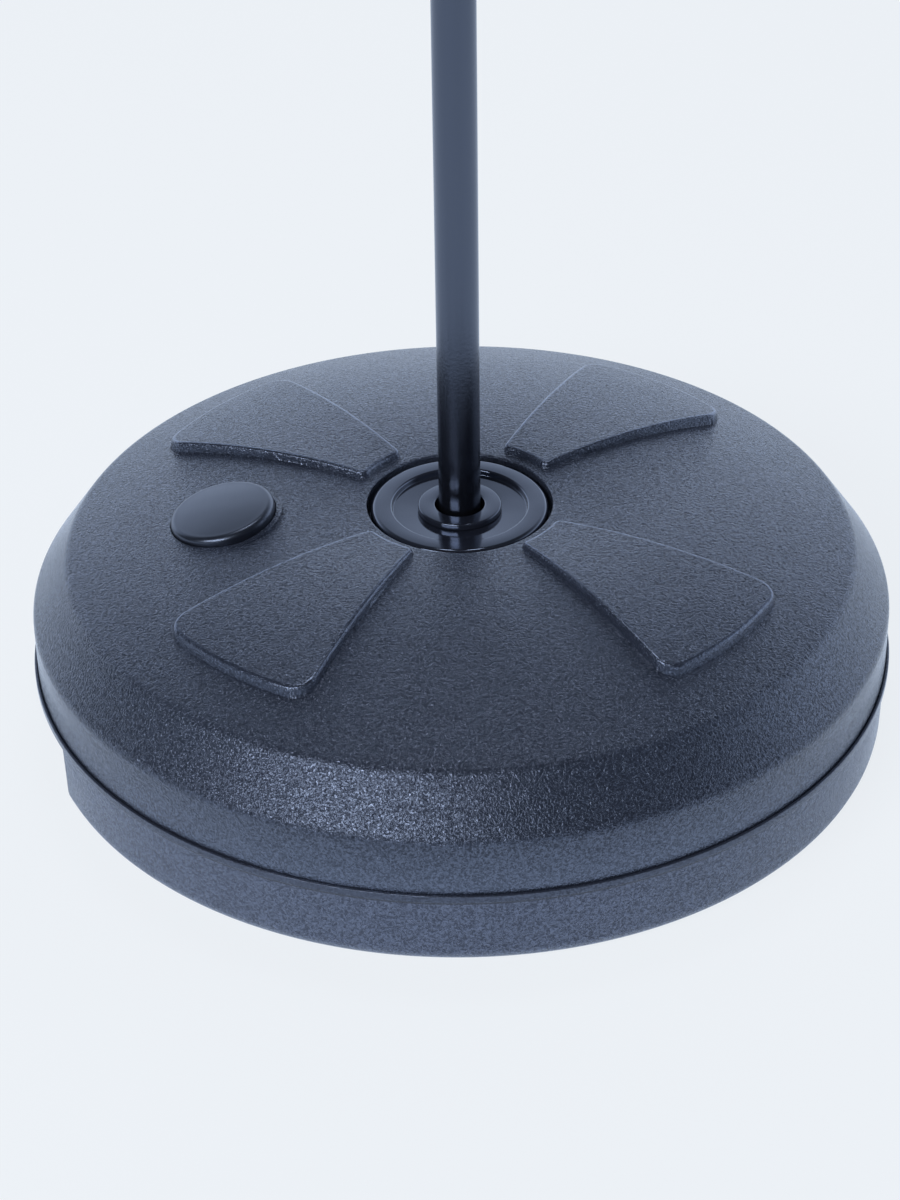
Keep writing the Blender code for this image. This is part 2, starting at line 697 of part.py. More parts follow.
disc_z = RECESS_Z + TOUCH
disc_corners = [
    (DISC_BORE, disc_z + DISC_HEIGHT, 0),
    (DISC_RADIUS, disc_z + DISC_HEIGHT, 0.0010),
    (DISC_RADIUS, disc_z, 0),
    (SPIGOT_RADIUS, disc_z, 0),
    (SPIGOT_RADIUS, disc_z - SPIGOT_LENGTH, 0),
    (DISC_BORE, disc_z - SPIGOT_LENGTH, 0),
]
turned("pole_trim_ring", rounded(disc_corners, 1, closed=True), 28, GLOSSY)


# Fill plug and its seal

cap_z = -SEAT_DEPTH + 2 * TOUCH + SEAL_THICKNESS
plug_skirt = NECK_RADIUS - SKIRT_CLEARANCE
plug_bottom = -NECK_LENGTH + 0.001
plug_corners = [
    (0, PLUG_STAND, 0),
    (PLUG_RADIUS * 0.6, PLUG_STAND - PLUG_CROWN * 0.36, 0),
    (PLUG_RADIUS, PLUG_STAND - PLUG_CROWN, PLUG_ROLL),
    (PLUG_RADIUS, cap_z, 0),
    (plug_skirt, cap_z, 0),
    (plug_skirt, plug_bottom, 0),
    (plug_skirt - PLUG_WALL, plug_bottom, 0),
    (plug_skirt - PLUG_WALL, PLUG_STAND - PLUG_CROWN - PLUG_WALL, 0),
    (0, PLUG_STAND - PLUG_WALL, 0),
]
turned("fill_plug", rounded(plug_corners, 3), 28, SATIN, closed=False, parent=plug_axis)

seal_low = -SEAT_DEPTH + TOUCH
turned(
    "plug_seal_ring",
    [
        (PLUG_RADIUS - 0.001, seal_low + SEAL_THICKNESS),
        (PLUG_RADIUS - 0.001, seal_low),
        (NECK_RADIUS, seal_low),
        (NECK_RADIUS, seal_low + SEAL_THICKNESS),
    ],
    28, RUBBER, parent=plug_axis,
)


# Pole: lower tube on its foot insert, held down by an anchor bolt, and the mast that slides in it

def tube(name, radius, wall, low, high, look):
    profile = [(radius, high), (radius, low), (radius - wall, low), (radius - wall, high)]
    return turned(name, profile, POLE_STEPS, look)


def nut_mesh(name, flats, height, bore):
    """A hexagonal nut from z = 0 up, with its hole and with two flats along X."""
    across = flats / 2 / math.cos(math.pi / 6)
    body = place(name, mesh_of(name, cylinder(across, 0, height, 6, math.pi / 6)), STEEL)
    hole = place(name + "_hole", mesh_of(name, cylinder(bore, -0.001, height + 0.001, 12)), None)
    cut(body, hole)
    return baked(body)


def bolt_mesh(name, flats, head, radius, length, sides=12):
    """A hexagonal bolt: its head from z = 0 down, its shank from z = 0 up."""
    across = flats / 2 / math.cos(math.pi / 6)
    body = place(name, mesh_of(name, cylinder(across, -head, 0, 6)), STEEL)
    shank = place(name + "_shank", mesh_of(name, cylinder(radius, -head / 2, length, sides)), None)
    join(body, shank)
    return baked(body)


tube("lower_tube", POLE_RADIUS, POLE_WALL, POLE_FOOT_Z, POLE_TOP_Z, COATED)
tube("upper_tube", MAST_RADIUS, MAST_WALL, MAST_FOOT_Z, MAST_TOP_Z, COATED)

insert_radius = POLE_RADIUS - POLE_WALL - SLIDE_CLEARANCE
insert_z = SOCKET_FLOOR + TOUCH
anchor_bore = ANCHOR_RADIUS + BOLT_CLEARANCE
insert_top = insert_z + INSERT_FLANGE + INSERT_LENGTH
turned(
    "foot_insert",
    [
        (insert_radius, insert_top),
        (insert_radius, insert_z + INSERT_FLANGE),
        (POLE_RADIUS, insert_z + INSERT_FLANGE),
        (POLE_RADIUS, insert_z),
        (anchor_bore, insert_z),
        (anchor_bore, insert_top),
    ],
    16, SPECKLED,
)
washer_z = COUNTERBORE_DEPTH - TOUCH - WASHER_THICKNESS
turned(
    "anchor_washer",
    [
        (WASHER_RADIUS, washer_z + WASHER_THICKNESS),
        (WASHER_RADIUS, washer_z),
        (anchor_bore, washer_z),
        (anchor_bore, washer_z + WASHER_THICKNESS),
    ],
    16, STEEL,
)
anchor_length = insert_top + TOUCH + ANCHOR_NUT + 0.003 - washer_z + TOUCH
place(
    "anchor_bolt", bolt_mesh("anchor_bolt", ANCHOR_FLATS, ANCHOR_HEAD, ANCHOR_RADIUS, anchor_length),
    STEEL, (0, 0, washer_z - TOUCH),
)
place(
    "anchor_nut", nut_mesh("anchor_nut", ANCHOR_FLATS, ANCHOR_NUT, anchor_bore),
    STEEL, (0, 0, insert_top + TOUCH),
)

# Guide bush that fills the lower tube under the mast, and the mast's end cap
bush_radius = POLE_RADIUS - POLE_WALL - SLIDE_CLEARANCE
mast_bore = MAST_RADIUS - MAST_WALL
spigot = mast_bore - TOUCH
turned(
    "guide_bush",
    [
        (spigot - 0.003, MAST_FOOT_Z + 0.012),
        (spigot, MAST_FOOT_Z + 0.012),
        (spigot, MAST_FOOT_Z - TOUCH),
        (bush_radius, MAST_FOOT_Z - TOUCH),
        (bush_radius, MAST_FOOT_Z - 0.022),
        (spigot - 0.003, MAST_FOOT_Z - 0.022),
    ],
    POLE_STEPS // 2, SPECKLED,
)
turned(
    "mast_cap",
    rounded(
        [
            (0, MAST_TOP_Z + 0.0050, 0),
            (MAST_RADIUS, MAST_TOP_Z + 0.0045, 0.0020),
            (MAST_RADIUS, MAST_TOP_Z + TOUCH, 0),
            (spigot, MAST_TOP_Z + TOUCH, 0),
            (spigot, MAST_TOP_Z - 0.014, 0),
            (0, MAST_TOP_Z - 0.014, 0),
        ],
        2,
    ),
    POLE_STEPS // 2, RUBBER, closed=False,
)


# Height clamp: collar on the lower tube, captive nut, and the knob whose stud presses on the mast

collar_top = COLLAR_Z + COLLAR_HEIGHT
collar_corners = [
    (MAST_RADIUS + SLIDE_CLEARANCE, collar_top, 0),
    (COLLAR_RADIUS - 0.0020, collar_top, 0.0015),
    (COLLAR_RADIUS, COLLAR_Z, 0.0010),
    (POLE_RADIUS + SLIDE_CLEARANCE, COLLAR_Z, 0),
    (POLE_RADIUS + SLIDE_CLEARANCE, POLE_TOP_Z + TOUCH, 0),
    (MAST_RADIUS + SLIDE_CLEARANCE, POLE_TOP_Z + TOUCH, 0),
]
collar = turned("clamp_collar", rounded(collar_corners, 2, closed=True), 28, SPECKLED)
along_x = (0, math.radians(90), 0)
knob_spot = (0, 0, KNOB_Z)
nut_inner = MAST_RADIUS + SLIDE_CLEARANCE + 0.0060
nut_across = STUD_NUT_FLATS / 2 / math.cos(math.pi / 6)
collar_boss = cylinder(COLLAR_BOSS, MAST_RADIUS + 0.003, COLLAR_REACH, 16)
stud_bore = cylinder(STUD_RADIUS + SLIDE_CLEARANCE, 0, COLLAR_REACH + 0.002, 12)
join(collar, place("collar_boss", mesh_of("collar_boss", collar_boss), None, knob_spot, along_x))
cut(collar, place("stud_bore", mesh_of("stud_bore", stud_bore), None, knob_spot, along_x))
nut_slot = box(
    (nut_inner - TOUCH, -STUD_NUT_FLATS / 2 - TOUCH, KNOB_Z - nut_across - TOUCH),
    (nut_inner + STUD_NUT_HEIGHT + TOUCH, STUD_NUT_FLATS / 2 + TOUCH, collar_top + 0.002),
)
cut(collar, place("nut_slot", mesh_of("nut_slot", nut_slot), None))
place(
    "clamp_nut",
    nut_mesh("clamp_nut", STUD_NUT_FLATS, STUD_NUT_HEIGHT, STUD_RADIUS + SLIDE_CLEARANCE),
    STEEL, (nut_inner, 0, KNOB_Z), along_x,
)

knob_axis = bpy.data.objects.new("knob_axis", None)
knob_axis.empty_display_size = 0.03
knob_axis.location = knob_spot
knob_axis.rotation_euler = along_x
stand.objects.link(knob_axis)
knob_low = COLLAR_REACH + TOUCH
knob_outline = []
for step in range(6 * KNOB_LOBES):
    angle = step * math.tau / (6 * KNOB_LOBES)
    lobe = KNOB_RADIUS - KNOB_LOBE_HEIGHT * (1 - math.cos(KNOB_LOBES * angle))
    knob_outline.append(tuple(on_circle(lobe, angle).xy))
knob = prism(knob_outline, knob_low + 0.004, knob_low + KNOB_LENGTH)
bmesh.ops.bevel(
    knob, geom=[edge for edge in knob.edges if abs(edge.verts[0].co.z - edge.verts[1].co.z) < 0.00001],
    offset=0.0015, segments=2, profile=0.5, affect="EDGES", material=-1, clamp_overlap=True,
)
knob_body = place("clamp_knob", mesh_of("clamp_knob", knob), SPECKLED, parent=knob_axis)
knob_hub = cylinder(KNOB_RADIUS * 0.5, knob_low, knob_low + KNOB_LENGTH / 2, 16)
stud_socket = cylinder(STUD_RADIUS + TOUCH, knob_low - 0.001, knob_low + KNOB_LENGTH * 0.7, 12)
join(knob_body, place("knob_hub", mesh_of("knob_hub", knob_hub), None, parent=knob_axis))
cut(knob_body, place("stud_socket", mesh_of("stud_socket", stud_socket), None, parent=knob_axis))
stud = cylinder(STUD_RADIUS, MAST_RADIUS + TOUCH, knob_low + KNOB_LENGTH * 0.7 - TOUCH, 12)
place("clamp_stud", mesh_of("clamp_stud", stud), STEEL, parent=knob_axis)


# Bracket: a folded steel channel with feet, held to the mast by two U-bolts

half_web = BRACKET_WEB / 2
half_feet = BRACKET_FEET / 2
inner_fold = SHEET_THICKNESS
hat = [
    (-half_web, WEB_BACK_Y), (half_web, WEB_BACK_Y),
    (half_web, FEET_BACK_Y), (half_feet, FEET_BACK_Y),
    (half_feet, FEET_FRONT_Y), (half_web - inner_fold, FEET_FRONT_Y),
    (half_web - inner_fold, WEB_FRONT_Y), (-half_web + inner_fold, WEB_FRONT_Y),
    (-half_web + inner_fold, FEET_FRONT_Y), (-half_feet, FEET_FRONT_Y),
    (-half_feet, FEET_BACK_Y), (-half_web, FEET_BACK_Y),
]
bracket_bm = prism(hat, RING_Z - BRACKET_HEIGHT / 2, RING_Z + BRACKET_HEIGHT / 2)
bracket = place("board_bracket", mesh_of("board_bracket", bracket_bm), COATED)
mount_spots = [
    (side * MOUNT_SPACING_X / 2, RING_Z + level * MOUNT_SPACING_Z / 2)
    for level in (-1, 1) for side in (-1, 1)
]
u_levels = [RING_Z + level * U_BOLT_SPACING / 2 for level in (-1, 1)]
u_reach = MAST_RADIUS + TOUCH + U_BOLT_RADIUS
u_spots = [(side * u_reach, level) for level in u_levels for side in (-1, 1)]
toward_front = (math.radians(90), 0, 0)
mount_hole = mesh_of(
    "mount_hole", cylinder(MOUNT_RADIUS + BOLT_CLEARANCE, MAST_RADIUS, -PLATE_FRONT_Y + 0.01, 12),
)
u_hole = mesh_of(
    "u_hole", cylinder(U_BOLT_RADIUS + BOLT_CLEARANCE, MAST_RADIUS - 0.002, -WEB_FRONT_Y + 0.002, 12),
)


def cut_holes(target, mesh, spots):
    """Holes along -Y at points in X and Z."""
    for index, (x, z) in enumerate(spots):
        spot = (x, 0, z)
        cut(target, place(f"{target.name}_hole_{index}_{mesh.name}", mesh, None, spot, toward_front))


cut_holes(bracket, mount_hole, mount_spots)
cut_holes(bracket, u_hole, u_spots)

u_leg_y = WEB_FRONT_Y - TOUCH - U_NUT_HEIGHT - 0.0030
u_points = [(-u_reach, u_leg_y, 0)]
for step in range(7):
    angle = math.pi - step * math.pi / 6
    u_points.append((u_reach * math.cos(angle), u_reach * math.sin(angle), 0))
u_points.append((u_reach, u_leg_y, 0))
u_mesh = wire("u_bolt", u_points, U_BOLT_RADIUS, 2)
for name, level in zip(("u_bolt_lower", "u_bolt_upper"), u_levels):
    place(name, u_mesh, STEEL, (0, 0, level))
u_nut = nut_mesh("u_nut", U_NUT_FLATS, U_NUT_HEIGHT, U_BOLT_RADIUS + TOUCH)
for index, (x, z) in enumerate(u_spots):
    place(f"u_bolt_nut_{index + 1}", u_nut, STEEL, (x, WEB_FRONT_Y - TOUCH, z), toward_front)


# Board: a moulded panel with rounded corners and a raised rim round its back

def rounded_rectangle(width, height, radius, segments):
    corners = [
        (width / 2, height / 2, radius), (-width / 2, height / 2, radius),
        (-width / 2, -height / 2, radius), (width / 2, -height / 2, radius),
    ]
    return rounded(corners, segments, closed=True)


outline = rounded_rectangle(BOARD_WIDTH, BOARD_HEIGHT, BOARD_CORNER, 6)
rim_outline = rounded_rectangle(
    BOARD_WIDTH - 2 * BOARD_RIM, BOARD_HEIGHT - 2 * BOARD_RIM, BOARD_CORNER - BOARD_RIM, 6,
)
panel_bm = prism(outline, -BOARD_BACK_Y - BOARD_RIM_DEPTH, -BOARD_FRONT_Y)
bmesh.ops.bevel(
    panel_bm,
    geom=[edge for edge in panel_bm.edges if abs(edge.verts[0].co.z - edge.verts[1].co.z) < 0.00001],
    offset=0.0015, segments=2, profile=0.5, affect="EDGES", material=-1, clamp_overlap=True,
)
back_recess = prism(rim_outline, -BOARD_BACK_Y - BOARD_RIM_DEPTH - 0.01, -BOARD_BACK_Y)
panel = place(
    "backboard_panel", mesh_of("backboard_panel", panel_bm), PANEL, (0, 0, BOARD_Z), toward_front,
)
cut(
    panel,
    place("back_recess", mesh_of("back_recess", back_recess), None, (0, 0, BOARD_Z), toward_front),
)
cut_holes(panel, mount_hole, mount_spots)


# Ring: a round bar with its mounting plate, two braces and the hooks for the net, welded together

plate_bm = box(
    (-PLATE_WIDTH / 2, PLATE_FRONT_Y, RING_Z - PLATE_HEIGHT / 2),
    (PLATE_WIDTH / 2, PLATE_BACK_Y, RING_Z + PLATE_HEIGHT / 2),
)
ring = place("ring", mesh_of("ring", plate_bm), RING_COAT)
ring_centre = Vector((0, -RING_FORWARD, RING_Z))
bar_points = [
    ring_centre + on_circle(RING_RADIUS, (step + 0.5) * math.tau / RING_STEPS)
    for step in range(RING_STEPS)
]
bar_mesh = wire("ring_bar", bar_points, RING_ROD, 2, cyclic=True)
join(ring, place("ring_bar", bar_mesh, None))
tab_half = PLATE_WIDTH * 0.3
tab_front = -RING_FORWARD + math.sqrt(RING_RADIUS ** 2 - tab_half ** 2)
tab_bm = box(
    (-tab_half, tab_front, RING_Z - RING_ROD * 0.6),
    (tab_half, PLATE_BACK_Y - PLATE_THICKNESS / 2, RING_Z + RING_ROD * 0.6),
)
join(ring, place("ring_tab", mesh_of("ring_tab", tab_bm), None))
brace_y = PLATE_FRONT_Y + PLATE_THICKNESS * 0.8 - BRACE_ROD
for side in (-1, 1):
    start = Vector((side * PLATE_WIDTH * 0.46, brace_y, RING_Z - PLATE_HEIGHT * 0.42))
    end = ring_centre + on_circle(RING_RADIUS + RING_ROD * 1.3, math.radians(90) - side * BRACE_ANGLE)
    brace_mesh = wire("brace", [start, end], BRACE_ROD, 2)
    join(ring, place(f"brace_{side}", brace_mesh, None))

hook_drop = RING_ROD + NET_THICKNESS / 2 + TOUCH + NET_CORD + HOOK_ROD
half_hook = HOOK_WIDTH / 2
hook_points = [
    (-half_hook, 0, -RING_ROD * 0.4), (-half_hook, 0, -hook_drop + 0.0010),
    (-half_hook + 0.0010, 0, -hook_drop), (half_hook - 0.0010, 0, -hook_drop),
    (half_hook, 0, -hook_drop + 0.0010), (half_hook, 0, -RING_ROD * 0.4),
]
hook_mesh = wire("net_hook", hook_points, HOOK_ROD, 0)
net_angles = [math.tau * index / NET_COLUMNS for index in range(NET_COLUMNS)]
for index, angle in enumerate(net_angles):
    spot = ring_centre + on_circle(RING_RADIUS, angle)
    join(ring, place(f"net_hook_{index + 1}", hook_mesh, None, spot, (0, 0, angle)))
cut_holes(ring, mount_hole, mount_spots)

# Bolts through plate, panel and bracket feet
bolt_reach = FEET_BACK_Y + TOUCH + MOUNT_NUT_HEIGHT + 0.0020 - PLATE_FRONT_Y
mount_bolt_profile = [
    (0, bolt_reach), (MOUNT_RADIUS, bolt_reach), (MOUNT_RADIUS, -TOUCH),
    (MOUNT_HEAD_RADIUS, -TOUCH), (MOUNT_HEAD_RADIUS * 0.6, -MOUNT_HEAD_HEIGHT), (0, -MOUNT_HEAD_HEIGHT),
]
mount_bolt = baked(turned("mount_bolt_0", mount_bolt_profile, 12, STEEL, closed=False))
mount_nut = nut_mesh("mount_nut", MOUNT_NUT_FLATS, MOUNT_NUT_HEIGHT, MOUNT_RADIUS + TOUCH)
toward_back = (math.radians(-90), 0, 0)
for index, (x, z) in enumerate(mount_spots):
    place(f"ring_bolt_{index + 1}", mount_bolt, STEEL, (x, PLATE_FRONT_Y, z), toward_back)
    place(f"ring_nut_{index + 1}", mount_nut, STEEL, (x, FEET_BACK_Y + TOUCH, z), toward_back)


# Net: a tapering lattice of diamonds, drawn in towards the bottom, hung on the hooks

net_top = RING_Z - RING_ROD - NET_THICKNESS / 2
net_bm = bmesh.new()
levels = 2 * NET_ROWS
rings = []
for level in range(levels + 1):
    share = level / levels
    radius = RING_RADIUS + (NET_BOTTOM_RADIUS - RING_RADIUS) * (1 - (1 - share) ** 1.6)
    height = net_top - share * NET_LENGTH
    offset = 0.5 * (level % 2)
    rings.append([
        net_bm.verts.new(
            Vector((0, -RING_FORWARD, 0))
            + on_circle(radius, math.tau * (column + offset) / NET_COLUMNS, height)
        )
        for column in range(NET_COLUMNS)
    ])
for level in range(levels - 1):
    for column in range(NET_COLUMNS):
        side = 1 if level % 2 else -1
        left = rings[level + 1][(column + min(side, 0)) % NET_COLUMNS]
        right = rings[level + 1][(column + max(side, 0)) % NET_COLUMNS]
        net_bm.faces.new([rings[level][column], left, rings[level + 2][column], right])
net_bm.normal_update()
cells = net_bm.faces[:]
bmesh.ops.inset_individual(net_bm, faces=cells, thickness=NET_CORD / 2, use_even_offset=True)
bmesh.ops.delete(net_bm, geom=cells, context="FACES_ONLY")
lattice = place("net_lattice", mesh_of("net_lattice", net_bm), CORD)
thicken = lattice.modifiers.new("thickness", "SOLIDIFY")
thicken.thickness = NET_THICKNESS
thicken.offset = 0
net = place("net", baked(lattice), CORD)
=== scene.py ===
# %% [markdown]
# # A small basketball stand, dressed for its portrait
# The stand has a heavy round base in two charcoal shells, a black pole in its middle, and a small
# board with a ring and a net on top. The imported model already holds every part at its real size.
# Here the parts that the eye meets first are made again with a finer surface, and every other part
# gets its finish.

import math

import bmesh
import bpy
from mathutils import Matrix, Vector


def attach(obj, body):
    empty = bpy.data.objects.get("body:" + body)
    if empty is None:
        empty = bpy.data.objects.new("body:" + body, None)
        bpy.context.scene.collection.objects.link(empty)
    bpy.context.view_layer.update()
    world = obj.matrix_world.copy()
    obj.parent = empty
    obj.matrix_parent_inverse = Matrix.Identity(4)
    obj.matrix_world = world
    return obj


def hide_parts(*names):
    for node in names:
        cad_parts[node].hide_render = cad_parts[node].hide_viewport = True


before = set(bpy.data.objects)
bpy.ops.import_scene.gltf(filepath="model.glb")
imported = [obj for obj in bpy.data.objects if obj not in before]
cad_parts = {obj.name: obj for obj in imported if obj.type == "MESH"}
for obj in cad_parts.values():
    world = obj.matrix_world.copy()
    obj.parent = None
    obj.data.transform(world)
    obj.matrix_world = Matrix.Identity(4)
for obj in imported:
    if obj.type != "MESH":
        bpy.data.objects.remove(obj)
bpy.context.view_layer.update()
print("parts in the packed stand:", len(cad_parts))

# %% [markdown]
# ## The camera
# The picture looks down on the base from about a metre up, with a long lens that hardly widens
# the near side. The camera's own axes are worked out from its three turns, because the lens, the
# height and the tilt together decide how round the base looks.

# %% Camera at the height and tilt of the picture
CAMERA_PLACE = Vector((0.0, -1.51704, 1.08306))
CAMERA_PITCH = 0.588526
CAMERA_YAW = -0.004415
CAMERA_ROLL = -0.015044
CAMERA_LENS = 89.50


def camera_turn():
    """The camera's right, up and backward directions as the columns of a matrix."""
    level_right = Vector((math.cos(CAMERA_YAW), -math.sin(CAMERA_YAW), 0))
    forward = Vector((
        math.sin(CAMERA_YAW) * math.cos(CAMERA_PITCH),
        math.cos(CAMERA_YAW) * math.cos(CAMERA_PITCH),
        -math.sin(CAMERA_PITCH),
    ))
    level_up = level_right.cross(forward)
    right = math.cos(CAMERA_ROLL) * level_right + math.sin(CAMERA_ROLL) * level_up
    up = math.cos(CAMERA_ROLL) * level_up - math.sin(CAMERA_ROLL) * level_right
    return Matrix((right, up, -forward)).transposed()


camera_data = bpy.data.cameras.new("picture_camera")
camera_data.lens = CAMERA_LENS
camera_data.sensor_width = 36
camera_data.clip_end = 60
camera = bpy.data.objects.new("picture_camera", camera_data)
camera.matrix_world = Matrix.Translation(CAMERA_PLACE) @ camera_turn().to_4x4()
bpy.context.scene.collection.objects.link(camera)
bpy.context.scene.camera = camera
print("camera is", round(CAMERA_PLACE.length, 3), "m from the foot of the pole")

# %% [markdown]
# ## Floor and light
# The stand was photographed on white paper with a bright wall behind it. The wall lights the far
# half of the dome, and the room above and in front is darker. One wide soft lamp at the camera's
# left makes the bright band on the front of the shoulder, and a smaller one hangs overhead. The
# lamps stay weak enough that a pale board on top of the stand keeps its colour. The camera sees
# the paper as a nearly even glow with a share of real shading, which keeps the stand's shadow.

# %% Paper floor
PAPER_COLOUR = (0.84, 0.85, 0.84)
PAPER_GLOW = (0.900, 0.935, 0.975)
PAPER_SHADE = 0.13
PAPER_IN_GLOSS = (0.84, 0.98, 1.20)
FLOOR_SIZE = 30.0

scene = bpy.context.scene
scene.view_settings.view_transform = "Standard"


def shader_parts(material):
    """A new material's node tree, its main shader and a function that joins two sockets."""
    material.use_nodes = True
    tree = material.node_tree
    return tree, tree.nodes["Principled BSDF"], tree.links.new


floor_mesh = bpy.data.meshes.new("paper_floor")
bm = bmesh.new()
bmesh.ops.create_grid(bm, x_segments=1, y_segments=1, size=FLOOR_SIZE / 2)
bm.to_mesh(floor_mesh)
bm.free()
floor = bpy.data.objects.new("paper_floor", floor_mesh)
scene.collection.objects.link(floor)

paper = bpy.data.materials.new("floor_paper")
tree, shader, link = shader_parts(paper)
shader.inputs["Base Color"].default_value = (*PAPER_COLOUR, 1)
shader.inputs["Roughness"].default_value = 0.8
shader.inputs["Specular IOR Level"].default_value = 0.2
glow = tree.nodes.new("ShaderNodeEmission")
glow.inputs["Color"].default_value = (*PAPER_GLOW, 1)
shaded = tree.nodes.new("ShaderNodeMixShader")
shaded.inputs["Fac"].default_value = PAPER_SHADE
link(glow.outputs["Emission"], shaded.inputs[1])
link(shader.outputs["BSDF"], shaded.inputs[2])
rays = tree.nodes.new("ShaderNodeLightPath")
mirrored = tree.nodes.new("ShaderNodeEmission")
mirrored.inputs["Color"].default_value = (*PAPER_IN_GLOSS, 1)
for_gloss = tree.nodes.new("ShaderNodeMixShader")
link(rays.outputs["Is Glossy Ray"], for_gloss.inputs["Fac"])
link(shader.outputs["BSDF"], for_gloss.inputs[1])
link(mirrored.outputs["Emission"], for_gloss.inputs[2])
for_camera = tree.nodes.new("ShaderNodeMixShader")
link(rays.outputs["Is Camera Ray"], for_camera.inputs["Fac"])
link(for_gloss.outputs["Shader"], for_camera.inputs[1])
link(shaded.outputs["Shader"], for_camera.inputs[2])
link(for_camera.outputs["Shader"], tree.nodes["Material Output"].inputs["Surface"])
floor_mesh.materials.append(paper)

# %% Air of the studio: bright paper behind, a darker room above and in front
AIR_COLOUR = (0.82, 0.96, 1.20)
ROOM_LEVEL = 0.05
BACKDROP_LEVEL = 0.9
WALL_LEVEL = 1.45
WALL_TOP = (0.26, 0.82)
WALL_SIDE = (0.0, 0.40)
WALL_SWING = 0.3

world = bpy.data.worlds.new("studio_air")
scene.world = world
world.use_nodes = True
air = world.node_tree
direction = air.nodes.new("ShaderNodeTexCoord")
parts = air.nodes.new("ShaderNodeSeparateXYZ")
air.links.new(direction.outputs["Generated"], parts.inputs["Vector"])


def fade(source, start, end, low, high):
    """A smooth change of level between two values of one direction."""
    made = air.nodes.new("ShaderNodeMapRange")
    made.interpolation_type = "SMOOTHSTEP"
    made.inputs["From Min"].default_value = start
    made.inputs["From Max"].default_value = end
    made.inputs["To Min"].default_value = low
    made.inputs["To Max"].default_value = high
    air.links.new(source, made.inputs["Value"])
    return made.outputs["Result"]


by_height = fade(parts.outputs["Z"], *WALL_TOP, WALL_LEVEL, 0.0)
swing = air.nodes.new("ShaderNodeMath")
swing.operation = "MULTIPLY_ADD"
swing.inputs[1].default_value = WALL_SWING
air.links.new(parts.outputs["X"], swing.inputs[0])
air.links.new(parts.outputs["Y"], swing.inputs[2])
by_side = fade(swing.outputs["Value"], *WALL_SIDE, 0.0, 1.0)
wall = air.nodes.new("ShaderNodeMath")
wall.operation = "MULTIPLY_ADD"
air.links.new(by_height, wall.inputs[0])
air.links.new(by_side, wall.inputs[1])
wall.inputs[2].default_value = ROOM_LEVEL
soft_fill = air.nodes["Background"]
soft_fill.inputs["Color"].default_value = (*AIR_COLOUR, 1)
air.links.new(wall.outputs["Value"], soft_fill.inputs["Strength"])
backdrop = air.nodes.new("ShaderNodeBackground")
backdrop.inputs["Color"].default_value = (*PAPER_GLOW, 1)
backdrop.inputs["Strength"].default_value = BACKDROP_LEVEL
air_rays = air.nodes.new("ShaderNodeLightPath")
show = air.nodes.new("ShaderNodeMixShader")
air.links.new(air_rays.outputs["Is Camera Ray"], show.inputs["Fac"])
air.links.new(soft_fill.outputs["Background"], show.inputs[1])
air.links.new(backdrop.outputs["Background"], show.inputs[2])
air.links.new(show.outputs["Shader"], air.nodes["World Output"].inputs["Surface"])

# %% Two soft lamps
LAMP_COLOUR = (0.90, 0.97, 1.08)


def soft_lamp(name, place, aim, width, height, power):
    """A wide rectangular lamp that looks from its place to its aim."""
    data = bpy.data.lights.new(name, "AREA")
    data.shape = "RECTANGLE"
    data.size = width
    data.size_y = height
    data.energy = power
    data.color = LAMP_COLOUR
    lamp = bpy.data.objects.new(name, data)
    lamp.location = place
    lamp.rotation_euler = (Vector(aim) - Vector(place)).to_track_quat("-Z", "Y").to_euler()
    lamp.visible_camera = False
    scene.collection.objects.link(lamp)
    return lamp


BASE_MIDDLE = (0.0, 0.0, 0.1)
soft_lamp("front_lamp", (-1.87, -3.43, 2.51), BASE_MIDDLE, 3.2, 1.2, 130)
soft_lamp("top_lamp", (0.0, 0.9, 3.4), BASE_MIDDLE, 1.0, 0.6, 14)

# %% [markdown]
# ## Measures of the base
# The base is made of two hollow mouldings turned about the pole. All their sizes are written here
# once, in metres, so that the two shells, the seal between them and the cover fit each other.

# %% Measures of the two shells
RIM_RADIUS = 0.2610
RIM_Z = 0.0510
LIP_WIDTH = 0.0016
LIP_HEIGHT = 0.0042
LIP_OVERHANG = 0.0021
LIP_UNDERCUT = 0.0032
GROOVE_WIDTH = 0.0005
LEDGE_Z = 0.0470
LEDGE_WIDTH = 0.0060
SHELL_WALL = 0.0035
SKIRT_Z = 0.0490
SHOULDER_Z = 0.0854
CREASE_RADIUS = 0.2363
CREASE_Z = 0.1172
CREASE_FILLET = 0.0090
SIDE_FILLET = 0.0100
DOME_Z = 0.1411
DOME_CROWN = 0.0092
WELL_RADIUS = 0.0556
WELL_Z = 0.1262
SOCKET_RADIUS = 0.0128
LIP_INNER = RIM_RADIUS - LIP_WIDTH
SKIRT_RADIUS = LIP_INNER - GROOVE_WIDTH
WALL_RADIUS = RIM_RADIUS - LIP_OVERHANG
WALL_DRAFT = 0.0010
BASE_FILLET = 0.0106
FOOT_INNER = 0.2220
FOOT_HEIGHT = 0.0040
FLOOR_Z = 0.0072
HUB_FOOT_RADIUS = 0.0420
HUB_TOP = 0.1224
HUB_RADIUS = 0.0172


def dome_z(radius):
    """Height of the dome's skin at a distance from the pole."""
    share = (radius - WELL_RADIUS) / (CREASE_RADIUS - WELL_RADIUS)
    return DOME_Z - (DOME_Z - CREASE_Z) * share + 4 * DOME_CROWN * share * (1 - share)


print("dome falls", round(1000 * (DOME_Z - CREASE_Z), 1), "mm from the well to the crease")

# %% [markdown]
# ## Turned mouldings
# A moulding that is round about the pole is drawn as half a section, then spun. The corners of a
# section get small arcs, because a moulded edge is never sharp, and the arc is what catches light.

# %% Sections with rounded corners, and spinning them

